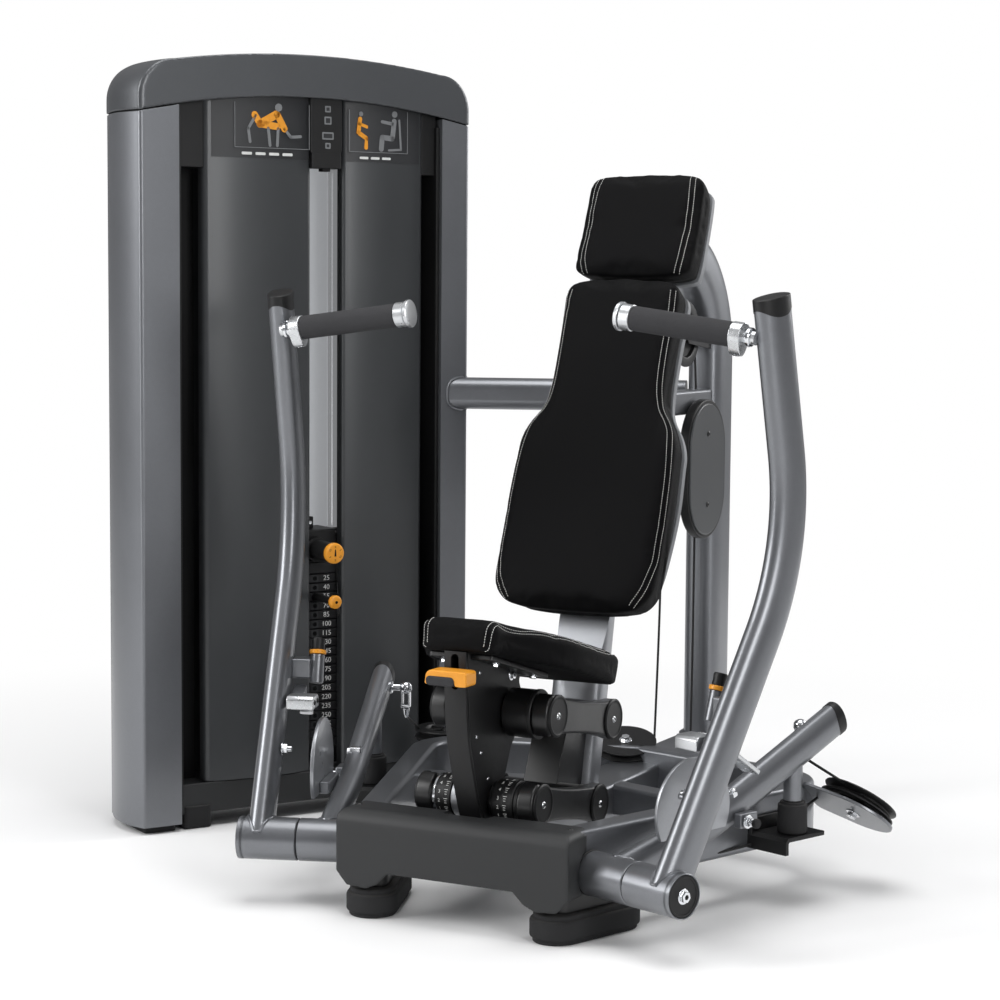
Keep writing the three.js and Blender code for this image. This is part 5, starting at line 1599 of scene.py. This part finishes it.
def inflate(ob, local, inverse, bottom):
    """Local points after cloth pressure has blown the cushion up; its board edge is held."""
    group = ob.vertex_groups.new(name="pin")
    group.add([int(i) for i in np.nonzero(local[:, 2] < bottom + 8)[0]], 1.0, "REPLACE")
    cloth = ob.modifiers.new("Cloth", "CLOTH")
    settings = cloth.settings
    settings.use_pressure = True
    settings.uniform_pressure_force = 4.0
    settings.vertex_group_mass = "pin"
    settings.effector_weights.gravity = 0.0
    settings.quality = 5
    settings.mass = 0.3
    settings.tension_stiffness = 12
    settings.compression_stiffness = 12
    settings.bending_stiffness = 0.6
    cloth.collision_settings.use_collision = False
    cloth.collision_settings.use_self_collision = False
    cloth.point_cache.frame_start, cloth.point_cache.frame_end = 1, 20
    scene = bpy.context.scene
    for number in range(1, 21):
        scene.frame_set(number)
    graph = bpy.context.evaluated_depsgraph_get()
    points = get_vectors(ob.evaluated_get(graph).to_mesh())
    ob.modifiers.clear()
    scene.frame_set(1)
    return transform(points, inverse)


def seam_hits(seam, skin, to_scene):
    """Points and normals where the seam meets the cushion."""
    hits = []
    for point, look in seam:
        p = to_scene @ Vector(point)
        direction = (to_scene.to_3x3() @ Vector(look)).normalized()
        hit = skin.ray_cast(p - direction * 0.2, direction, 0.5)
        if hit[0] is None:
            hit = skin.find_nearest(p)
        hits.append((Vector(hit[0]), Vector(hit[1])))
    return hits


def seam_distance(points, line):
    """Distance of each vertex from the seam, for those near it."""
    best = np.full(len(points), 1e9)
    for start, end in zip(line[:-1], line[1:]):
        run = end - start
        squared = run @ run
        if squared < 1e-12:
            continue
        near = np.abs(points - (start + end) / 2).max(1) < 0.03
        t = np.clip(((points[near] - start) @ run) / squared, 0, 1)
        distance = np.linalg.norm(points[near] - start - t[:, None] * run, axis=1)
        best[near] = np.minimum(best[near], distance)
    return best


def stitch_row(thread, hits, skin, aside):
    """Row of thread stitches beside a seam; lengths here are metres."""
    line = []
    for i, (point, normal) in enumerate(hits):
        run = (hits[min(len(hits) - 1, i + 1)][0] - hits[max(0, i - 1)][0]).normalized()
        line.append(point + normal.cross(run).normalized() * aside)
    stations = resample(line, 0.0046)
    for start, end in zip(stations, stations[1:]):
        hit = skin.find_nearest((start + end) / 2)
        if hit[0] is None:
            continue
        normal = Vector(hit[1])
        run = (end - start).normalized()
        run = (run - normal * run.dot(normal)).normalized()
        sideways = normal.cross(run)
        base = Vector(hit[0]) + normal * 0.0001
        rings = []
        for f, k in ((-1.0, 0.25), (-0.8, 0.8), (0.0, 1.0), (0.8, 0.8), (1.0, 0.25)):
            centre = base + run * (0.00165 * f) + normal * (0.00035 * (1 - f * f))
            rings.append([(centre + sideways * (0.00062 * k * cos(2 * pi * j / 6))
                           + normal * (0.00048 * k * sin(2 * pi * j / 6)) - SHIFT) * 1000
                          for j in range(6)])
        thread.loft(rings)


def cushion(name, half, place, body, node, seams, bottom=-PAD_T, inset=1.0, crown_limit=8,
            taper=12.0, reshape=None):
    """Padded cushion: blown up a little as cloth, then sewn seams are pressed in.

    crown_limit caps the swelling out of the pad; reshape bends the local points.
    """
    top = -5
    ob = cushion_form(name, half, place, bottom, top, inset, taper)
    to_scene = TO_ROW @ place
    inverse = to_scene.inverted()
    local = transform(get_vectors(ob.data), inverse)
    swollen = inflate(ob, local, inverse, bottom)
    # a soft limit in each direction keeps the curve of the cloth
    limits = np.array([3.0, 3.0, crown_limit])
    local = local + limits * np.tanh((swollen - local) / limits)
    local[:, 2] = np.maximum(local[:, 2], bottom)
    if reshape is not None:
        local = reshape(local)
    ob.data.vertices.foreach_set("co", transform(local, to_scene).ravel())
    ob.data.update()
    subdivision = ob.modifiers.new("s", "SUBSURF")
    subdivision.levels = subdivision.render_levels = 1
    apply_modifiers(ob)

    mesh = ob.data
    points, normals = get_vectors(mesh), get_vectors(mesh, "normal")
    skin = BVHTree.FromPolygons([tuple(p) for p in points], [tuple(p.vertices) for p in mesh.polygons])
    thread = Piece().use("thread")
    dent = np.zeros(len(points))
    for seam in seams:
        hits = seam_hits(seam, skin, to_scene)
        distance = seam_distance(points, np.array([tuple(hit[0]) for hit in hits]))
        dent = np.maximum(dent, 0.0022 * np.exp(-(distance / 0.0032) ** 2))
        for aside in (-0.0052, 0.0052):
            stitch_row(thread, hits, skin, aside)
    mesh.vertices.foreach_set("co", (points - normals * dent[:, None]).ravel())
    mesh.update()
    mesh.materials.clear()
    mesh.materials.append(MATERIALS["vinyl"])
    finish_mesh(ob, 80)
    attach(ob, body, node)
    thread.make(name + "_stitching", body, "upholstery", weighted=False)


def face_seam(points):
    """Seam on the face of a pad: pairs of a point and the direction to look from it."""
    path = resample([(x, y, 40.0) for x, y in spline(points, 6)], 9.0)
    return [(tuple(p), (0, 0, -1)) for p in path]


BACK_SEAM = [(-128, 12), (-147, 44), (-157, 82), (-160, 121), (-160, 200), (-157, 280),
             (-149, 345), (-137, 372), (-120, 399), (-111, 440), (-109, 505), (-110, 590),
             (-108, 632)]
HEAD_SEAM = [(-96, 2), (-103, 30), (-104, 100), (-102, 170), (-97, 205)]
SEAT_SEAM = [(118, 366), (134, 330), (139, 260), (132, 172), (107, 100), (72, 40), (62, 6)]


def seat_seam(side):
    """Along the top, over the roll of the nose and down its front."""
    seam = face_seam([(side * x, y) for x, y in SEAT_SEAM])
    seam.append(((side * (62 - 0.6), -8.0, -9.0), (0, 0.6, -0.8)))
    for i in range(2, 7):
        seam.append(((side * (62 - 0.6 * i), -30.0, -9.0 * i), (0, 1, -0.25)))
    return seam


def saddle(local):
    """Nose of the seat rolls down at the front; the seat dishes slightly across."""
    x, y, z = local[:, 0], local[:, 1], local[:, 2]
    top = np.clip((z + 58) / 58, 0, 1)
    z = z - 2.5 * np.exp(-((x / 70) ** 2)) * top * np.clip((y - 40) / 120, 0, 1)
    z = z - 10 * np.clip((8 - y) / 30, 0, 1) ** 2 * top
    return np.stack([x, y, z], 1)


cushion("back_cushion", BACK_HALF, BACK, "frame", "back_pad",
        [face_seam(BACK_SEAM), face_seam(mirrored(BACK_SEAM))])
cushion("head_cushion", HEAD_HALF, HEAD, "frame", "head_pad",
        [face_seam(HEAD_SEAM), face_seam(mirrored(HEAD_SEAM))], crown_limit=7.5)
cushion("seat_cushion", SEAT_HALF, SEAT, "seat", "seat_pad", [seat_seam(1), seat_seam(-1)],
        bottom=-58, inset=1.5, crown_limit=7, taper=6.0, reshape=saddle)

# ---------------------------------------------------------------- seat post and rear column
REAR_LOW, REAR_UP = (345, 168), (400, 314)      # rear pivots of the seat links, (Y, Z)
LINK = (-230, 42)                               # from a rear pivot to its front one
SPINE_TOP = 160.6
BOARD_REAR = -(PAD_T + BOARD_T + 1.2)           # z of the back of a board in its pad frame


def onto_board(p, direction, pad):
    """Moves p along direction to just behind the board of a pad."""
    normal = pad.to_3x3() @ Vector(UP)
    on_plane = pad @ Vector((0, 0, BOARD_REAR - 0.2))
    return p + direction * ((on_plane - p).dot(normal) / direction.dot(normal))


part = Piece().use("bright")
foot = Vector((0, 462, 150))
along = (Vector((0, 574, 700)) - foot).normalized()
across = along.cross(X_AXIS)
line = [foot + X_AXIS * x + across * y for x, y in superellipse(104, 62, 64, 3.2)]
lower = [p + along * ((160.4 - p.z) / along.z) for p in line]
upper = [onto_board(p, along, BACK) for p in line]
part.loft([[p.lerp(q, k / 8) for p, q in zip(lower, upper)] for k in range(9)])
part.prism(moved(superellipse(116, 80, 56, 3.2), 0, 465), SPINE_TOP, 166)
part.make("seat_post_tube", "frame", "bright_tube", "seat_post")

part = Piece()
for pivot in (REAR_LOW, REAR_UP):
    part.use("black_steel").tube((-80, *pivot), (80, *pivot), 31, 11.4, 2.0, 56)
    for x in (-79, 79):
        part.use("mould_dark").tube((x - 3, *pivot), (x + 3, *pivot), 32.6, 12, 1.0, 56)
gusset = [(REAR_LOW[0] - 12, REAR_LOW[1] + 24), (REAR_LOW[0] - 12, 161.2), (470, 161.2),
          (480, 300), (REAR_UP[0], REAR_UP[1] + 26), (REAR_UP[0] - 20, REAR_UP[1] - 10)]
part.use("black_steel").prism_x(round_corners(gusset, 8), -34, 34, bevel=2.0)
part.make("seat_pivot_block", "frame", "black_steel", "seat_post")

# rear column, bent forward to the head board, with a stub to the back board
COLUMN_Y = 1118
column_top = HEAD @ Vector((0, 85, BOARD_REAR))
path = fillet((0, COLUMN_Y, SPINE_TOP), (0, COLUMN_Y, 1178),
              (0, column_top.y - 6, column_top.z), 210, 26)
rings = sweep_rings(superellipse(76, 104, 64, 3.2), path, X_AXIS)
rings[-1] = [onto_board(p, tangent(path, len(path) - 1), HEAD) for p in rings[-1]]
part = Piece().use("frame").loft(rings)
stub = BACK @ Vector((0, 420, BOARD_REAR))
section = rect(-24, 24, stub.z - 24, stub.z + 24, 6, 5)
part.loft([[onto_board(Vector((x, stub.y, z)), Vector((0, 1, 0)), BACK) for x, z in section],
           [Vector((x, 1090, z)) for x, z in section]])
cheek = round_corners([(948, 988), (1085, 972), (1085, 1038), (948, 1022)], 8)
for x in (16, -21):
    part.use("black_steel").prism_x(cheek, x, x + 5, bevel=1)
part.use("frame").prism(moved(superellipse(94, 122, 56, 3.2), 0, COLUMN_Y), SPINE_TOP, 167)
part.bead([(x, y + COLUMN_Y, 168) for x, y in superellipse(80, 108, 64, 3.2)], 2.4)
part.make("rear_column_tube", "frame", "frame_metallic", "rear_column")


def inside(q, polygon):
    result = False
    for (x0, y0), (x1, y1) in zip(polygon, polygon[1:] + polygon[:1]):
        if (y0 > q.y) != (y1 > q.y) and q.x < (x1 - x0) * (q.y - y0) / (y1 - y0) + x0:
            result = not result
    return result


# cross beam from the tower to the column, with a weld where it leaves the rear post
part = Piece().use("frame")
start, end = Vector((-541.6, 939.9, 873)), Vector((0, COLUMN_Y, 873))
along, upward = (end - start).normalized(), Vector(UP)
level = along.cross(upward)
section = rect(-33, 33, -36, 36, 22, 8)
near = [start + upward * x + level * y for x, y in section]
far = [end + upward * x + level * y - along * 50 for x, y in section]
part.loft([near, [p.lerp(q, 0.5) for p, q in zip(near, far)], far])
post = rear_post_outline(1.0)
weld = []
for x, y in rect(-34, 34, -37, 37, 22.5, 8):
    p = start + upward * x + level * y
    t = 0.0
    while t < 140 and inside(TOWER_INVERSE @ (p + along * t), post):
        t += 1.0
    weld.append(p + along * t)
part.bead(weld, 2.8)
part.make("cross_beam_tube", "frame", "frame_metallic", "cross_beam")

# ---------------------------------------------------------------- column pulley, guard, cables
WHEEL = (965, 1005)      # (Y, Z) of the column pulley

part = Piece()
part.use("mould_dark").lathe(symmetric(COLUMN_PULLEY), (0, *WHEEL), X_AXIS, 64)
part.use("chrome").tube((-13, *WHEEL), (13, *WHEEL), 8.8, 5.5, 0.6, 32)
part.make("column_pulley_wheel", "top_pulley", "moulded_black", "column_pulley")
part = Piece().use("chrome").cyl((-24, *WHEEL), (24, *WHEEL), 5, 0.8, 28)
for side in (1, -1):
    part.hexbolt((side * 21, *WHEEL), X_AXIS * side, 15, 7, 11)
part.make("column_pulley_axle", "frame", "chrome_rod")

part = Piece()
guard = [(y + 982, x + 732) for x, y in capsule(-45, 45, 0, 97, 28)]
part.use("mould_dark").prism_x(guard, 30, 52, bevel=6, steps=6, top_bevel=3)
part.use("shroud").prism_x(moved(offset(guard, 8), -5, 0), 50, 56, bevel=2.5, steps=4)
for z in (660, 804):
    part.use("black_steel").button((56.2, 977, z), X_AXIS, 6, 2.6)
part.box(20, 32.5, 1010, 1066, 712, 752, bevel=2)
part.make("pulley_guard_shell", "frame", "shroud_grey", "pulley_guard")

part = Piece().use("cable")
part.wire([(0, 912, 1000), (0, 880, 800), (0, 871, 472), (0, 856, 240), (0, 850, 172)], 2.4, 10,
          smooth=8)
part.wire([(0, 1018, 1030), (0, 1040, 900), (0, 1044, 700), (0, 1044, 400), (0, 1040, 175)],
          2.4, 10)
part.wire([(0, y, z) for y, z in arc(*WHEEL, 58.5, -5, 175, 15)], 2.4, 10, smooth=2)
part.make("column_cable", "frame", "black_steel")

# flat pulley over the spine and the cables that meet it
centre, axis = Vector((-40, 800, 186)), Vector((0.12, -0.28, 0.95)).normalized()
part = Piece()
part.use("mould_dark").lathe([(-9, 9), (-9, 56), (-8, 62), (-6, 62), (0, 53), (6, 62), (8, 62),
                              (9, 56), (9, 9), (-9, 9)], centre, axis, 56)
part.use("chrome").hexbolt(centre + axis * 9, axis, 15, 8, 13)
part.use("black_steel").cyl(centre - axis * 34, centre - axis * 9, 10, 1, 24)
part.make("base_pulleys", "frame", "moulded_black")
wrap = [facing(centre, axis) @ Vector((x, y, 0)) for x, y in arc(0, 0, 55, 0, 192, 16)]
part = Piece().use("cable")
part.wire(wrap + [(-160, 870, 176), (-380, 842, 178)], 2.4, 10, smooth=3)
part.wire([(330, 690, 120), (120, 800, 140), (-40, 860, 176)], 2.4, 10)
part.make("base_cables", "frame", "black_steel")

# ---------------------------------------------------------------- seat linkage
LOW_FRONT = (REAR_LOW[0] + LINK[0], REAR_LOW[1] + LINK[1])
UP_FRONT = (REAR_UP[0] + LINK[0], REAR_UP[1] + LINK[1])


def dogbone(rear, front, radius, steps=18):
    """Link outline: round ends and a waist between them."""
    length = hypot(front[0] - rear[0], front[1] - rear[1])
    a = atan2(front[1] - rear[1], front[0] - rear[0])
    waist = radius * 0.66
    points = []
    for x, start, order, sign in ((0, pi / 2, range(1, steps), -1),
                                  (length, -pi / 2, range(steps - 1, 0, -1), 1)):
        for i in range(steps + 1):
            t = start + 0.5 + (pi - 1.0) * i / steps
            points.append((x + radius * cos(t), radius * sin(t)))
        for i in order:
            f = i / steps
            half = radius * 0.878 + (waist - radius * 0.878) * sin(pi * f) ** 0.75
            points.append((-radius * 0.48 + (length + radius * 0.96) * f, sign * half))
    return [(rear[0] + u * cos(a) - v * sin(a), rear[1] + u * sin(a) + v * cos(a))
            for u, v in points]


def seat_link(name, rear, front, radius, tube, drum):
    """Two arms, the front cross tube and bearing drums outside the carriage."""
    part = Piece()
    for side in (1, -1):
        x0 = 83 if side > 0 else -115
        part.use("black_steel").prism_x(dogbone(rear, front, radius), x0, x0 + 32, bevel=5, steps=5)
        # pivot cap: height, radius
        profile = [(0, 0), (0, radius - 4.5), (4, radius - 4.5), (5.6, radius - 6.5),
                   (6, radius - 9), (4.8, radius - 10.5), (4.4, radius - 14), (4.6, 0)]
        for pivot in (rear, front):
            part.use("mould_dark").lathe(profile, (side * 113, *pivot), (side, 0, 0), 56)
            part.use("chrome").button((side * 117.4, *pivot), (side, 0, 0), 6.6, 2.8)
    part.use("black_steel").tube((-83, *front), (83, *front), tube, 9, 1.2, 56)
    for side in (1, -1):
        part.use("black_steel").tube((side * 26, *front), (side * 82.6, *front), drum, tube - 2, 2.4, 64)
        part.use("mould_dark").tube((side * 75, *front), (side * 82.8, *front), drum + 1.2, tube, 1.2, 64)
        part.use("chrome").cyl((side * 50, *rear), (side * 84, *rear), 10, 0.5, 24)
    part.make("seat_%s_link_arms" % name, "seat_%s_link" % name, "black_steel", "seat_link_" + name)


seat_link("upper", REAR_UP, UP_FRONT, radius=42, tube=30, drum=43)
seat_link("lower", REAR_LOW, LOW_FRONT, radius=41, tube=26, drum=34)


def on_ring(x, a):
    """Frame on the setting ring at angle a, facing outward."""
    out = Vector((0, cos(a), sin(a)))
    return axes(X_AXIS, out.cross(X_AXIS), out,
                (x, LOW_FRONT[0] + 37.7 * cos(a), LOW_FRONT[1] + 37.7 * sin(a)))


# numbered setting rings on the lower front pivot
part = Piece()
for x0, x1 in ((-76, -46), (34, 74)):
    middle = (x0 + x1) / 2
    part.use("mould_dark").tube((x0, *LOW_FRONT), (x1, *LOW_FRONT), 37.5, 27, 1.4, 72)
    part.use("black_steel").tube((middle + 1, *LOW_FRONT), (middle + 2.2, *LOW_FRONT), 37.9, 35, 0.2, 72)
    for i in range(7):
        a = radians(210 - 24 * i)
        part.use("ink").text(str(i + 1), 8.5, on_ring(middle - 7, a), 0.2)
        for k in range(3):
            half = 2.2 if k else 3.6
            part.prism(rect(-half, half, -0.45, 0.45, 0.2, 1), -0.2, 0.2,
                       on_ring(middle + 6, a + radians(6 * k - 6)), bevel=0)
part.make("seat_setting_rings", "seat_lower_link", "black_steel")

part = Piece()
part.use("chrome").tube((-82.6, *LOW_FRONT), (-77, *LOW_FRONT), 36.5, 27, 1, 56)
part.use("bright").tube((-46, *LOW_FRONT), (-24, *LOW_FRONT), 35.6, 26.5, 1, 56)
part.make("seat_pivot_collars", "seat_lower_link", "bright_tube")

# ---------------------------------------------------------------- seat carriage
# side plate: y, z, corner radius
CARRIAGE = ((20, 520, 0), (18, 430, 60), (26, 340, 60), (44, 270, 60), (66, 210, 60), (84, 172, 14),
            (128, 166, 16), (152, 185, 20), (150, 230, 16), (178, 292, 24), (215, 330, 24),
            (225, 372, 24), (205, 410, 12), (240, 430, 10), (250, 452, 12), (120, 520, 0))
CARRIAGE_FRONT = [(14, 525), (13, 430), (21, 340), (41, 268), (62, 208), (82, 164)]


def finish_carriage(part, name, cutters=()):
    """Makes a carriage plate and trims it under the seat."""
    plate = part.make(name, None, "shroud_grey", weighted=False)
    above = Piece(SEAT).prism([(-300, -200), (300, -200), (300, 600), (-300, 600)], -58.6, 200,
                              bevel=0)
    cut(plate, [*cutters, above.solid()])
    finish_mesh(plate, 35)
    attach(plate, "seat", "seat_carriage")


part = Piece().use("mould_dark")
outline = round_corners([(y, z) for y, z, _ in CARRIAGE], [radius for *_, radius in CARRIAGE], 6)
for x in (14, -21):
    part.prism_x(outline, x, x + 7, bevel=1.2)
finish_carriage(part, "carriage_sides")
part = Piece().use("mould_dark").prism_x(strip(spline(CARRIAGE_FRONT, 10), 9), -21, 21, bevel=1.6)
slot = Piece().prism_y([(x, z) for z, x in capsule(424, 470, 0, 7.5, 10)], -20, 60, bevel=0)
finish_carriage(part, "carriage_front_plate", [slot.solid()])

part = Piece()
part.use("black_steel").box(-62, 62, 12, 236, -67, -58.8, place=SEAT, bevel=1.5, radius=6)
for y, z in ((50, 330), (66, 300), (92, 250), (120, 205), (200, 360), (60, 440)):
    for side in (1, -1):
        part.use("chrome").button((side * 21, y, z), (side, 0, 0), 3.6, 1.6)
for y, z in ((118, 230), (176, 420)):
    part.hexbolt((21, y, z), X_AXIS, 13, 6, 10)
for x in (-48, 48):
    for y in (50, 200):
        part.hexbolt(SEAT @ Vector((x, y, -67)), SEAT.to_3x3() @ Vector((0, 0, -1)), 12, 5, 9)
part.make("seat_bracket", "seat", "black_steel", "seat_carriage")

# release handle: orange shell, grey grip insert
part = Piece()
shell = [(-38, 429), (-34, 454), (43, 454), (43, 428), (21, 428), (17, 440), (-22, 440), (-29, 429)]
part.use("orange").prism_y(round_corners(shell, [5, 12, 6, 5, 4, 8, 8, 4], 6), -31, 6, bevel=2.6,
                           steps=4)
part.use("grip").prism_y(rect(-34, 20, 427.6, 444, 7.5, 6), -34, -2, bevel=3.5, steps=4)
part.use("orange").prism_y(rect(-20, 20, 434, 450, 4, 4), -8, 7.2, bevel=1)
part.make("seat_release_lever", "seat_handle", "orange_plastic", "seat_release")


# ---------------------------------------------------------------- stage, light, camera
def floor():
    """Near-white floor that runs out to plain white for the camera, to meet the backdrop."""
    tree, bsdf, output = new_material("floor")
    mottle = add_node(tree, "TexNoise", {"Scale": 1.2}).outputs[0]
    grey = map_range(tree, mottle, to_min=0.86, to_max=0.90)
    colour = add_node(tree, "CombineColor", {0: grey, 1: grey, 2: grey})
    tree.links.new(colour.outputs[0], bsdf.inputs["Base Color"])
    bsdf.inputs["Roughness"].default_value = 0.9
    bsdf.inputs["Specular IOR Level"].default_value = 0.1
    position = add_node(tree, "TexCoord").outputs["Object"]
    camera_ray = add_node(tree, "LightPath").outputs["Is Camera Ray"]
    white = add_node(tree, "Emission")
    distance = add_node(tree, "VectorMath", {0: position}, operation="LENGTH").outputs["Value"]
    fade = map_range(tree, distance, from_min=0.9, from_max=2.6, interpolation_type="SMOOTHSTEP")
    factor = add_node(tree, "Math", {0: fade, 1: camera_ray}, operation="MULTIPLY")
    mix = add_node(tree, "MixShader", {0: factor.outputs[0], 1: bsdf.outputs[0],
                                       2: white.outputs[0]})
    tree.links.new(mix.outputs[0], output.inputs[0])
    half, z = 40, -0.0004      # metres
    mesh = bpy.data.meshes.new("floor")
    mesh.from_pydata([(-half, -half, z), (half, -half, z), (half, half, z), (-half, half, z)], [],
                     [(0, 1, 2, 3)])
    mesh.materials.append(MATERIALS["floor"])
    ob = bpy.data.objects.new("floor", mesh)
    bpy.context.scene.collection.objects.link(ob)


def studio_world():
    """White for the camera; a grey gradient, brighter overhead, for everything else."""
    world = bpy.data.worlds.new("studio")
    bpy.context.scene.world = world
    world.use_nodes = True
    tree = world.node_tree
    tree.nodes.clear()
    backdrop = add_node(tree, "Background", {0: (1, 1, 1, 1), 1: 1.0})
    position = add_node(tree, "TexCoord").outputs["Generated"]
    height = add_node(tree, "SeparateXYZ", {0: position}).outputs["Z"]
    gradient = add_node(tree, "ValToRGB", {0: height})
    low, high = gradient.color_ramp.elements
    low.position, low.color = 0.0, (0.30, 0.30, 0.31, 1)
    high.position, high.color = 0.9, (0.85, 0.85, 0.86, 1)
    gradient.color_ramp.elements.new(0.35).color = (0.34, 0.34, 0.35, 1)
    surroundings = add_node(tree, "Background", {0: gradient.outputs[0], 1: 0.52})
    camera_ray = add_node(tree, "LightPath").outputs["Is Camera Ray"]
    mix = add_node(tree, "MixShader", {0: camera_ray, 1: surroundings.outputs[0],
                                       2: backdrop.outputs[0]})
    add_node(tree, "OutputWorld", {0: mix.outputs[0]})


def area_light(name, location, target, width, height, power):
    """Area light; places and sizes in metres."""
    light = bpy.data.lights.new(name, "AREA")
    light.shape = "RECTANGLE"
    light.size, light.size_y = width, height
    light.energy = power
    ob = bpy.data.objects.new(name, light)
    bpy.context.scene.collection.objects.link(ob)
    ob.location = location
    ob.rotation_mode = "QUATERNION"
    ob.rotation_quaternion = (Vector(target) - Vector(location)).to_track_quat("-Z", "Y")


def camera():
    heading, pitch, roll = radians(27.5), radians(5.06), 0.0076
    forward = Vector((-sin(heading) * cos(pitch), cos(heading) * cos(pitch), -sin(pitch)))
    level = Vector((cos(heading), sin(heading), 0))
    upright = level.cross(forward)
    data = bpy.data.cameras.new("camera")
    data.lens, data.sensor_width = 84.99604, 36.0
    data.clip_start, data.clip_end = 0.05, 200
    ob = bpy.data.objects.new("camera", data)
    bpy.context.scene.collection.objects.link(ob)
    ob.matrix_world = axes(level * cos(roll) + upright * sin(roll),
                           upright * cos(roll) - level * sin(roll), -forward,
                           Vector((1.893, -3.467, 1.09)) + SHIFT)
    bpy.context.scene.camera = ob


floor()
studio_world()
area_light("key", (-3.2, -3.0, 2.6), (0, 0, 0.8), width=1.6, height=2.6, power=105)
area_light("fill", (3.6, -2.4, 2.0), (0, 0, 0.7), width=1.2, height=2.4, power=62)
area_light("top", (0.2, -0.4, 4.2), (0, 0, 0.6), width=2.8, height=2.8, power=95)
area_light("streak", (-2.1, -3.3, 1.5), (0, 0, 0.8), width=0.10, height=2.8, power=26)
area_light("rim", (2.2, 3.4, 2.4), (0, 0, 0.9), width=1.4, height=2.4, power=70)
camera()
bpy.context.scene.view_settings.view_transform = "Standard"
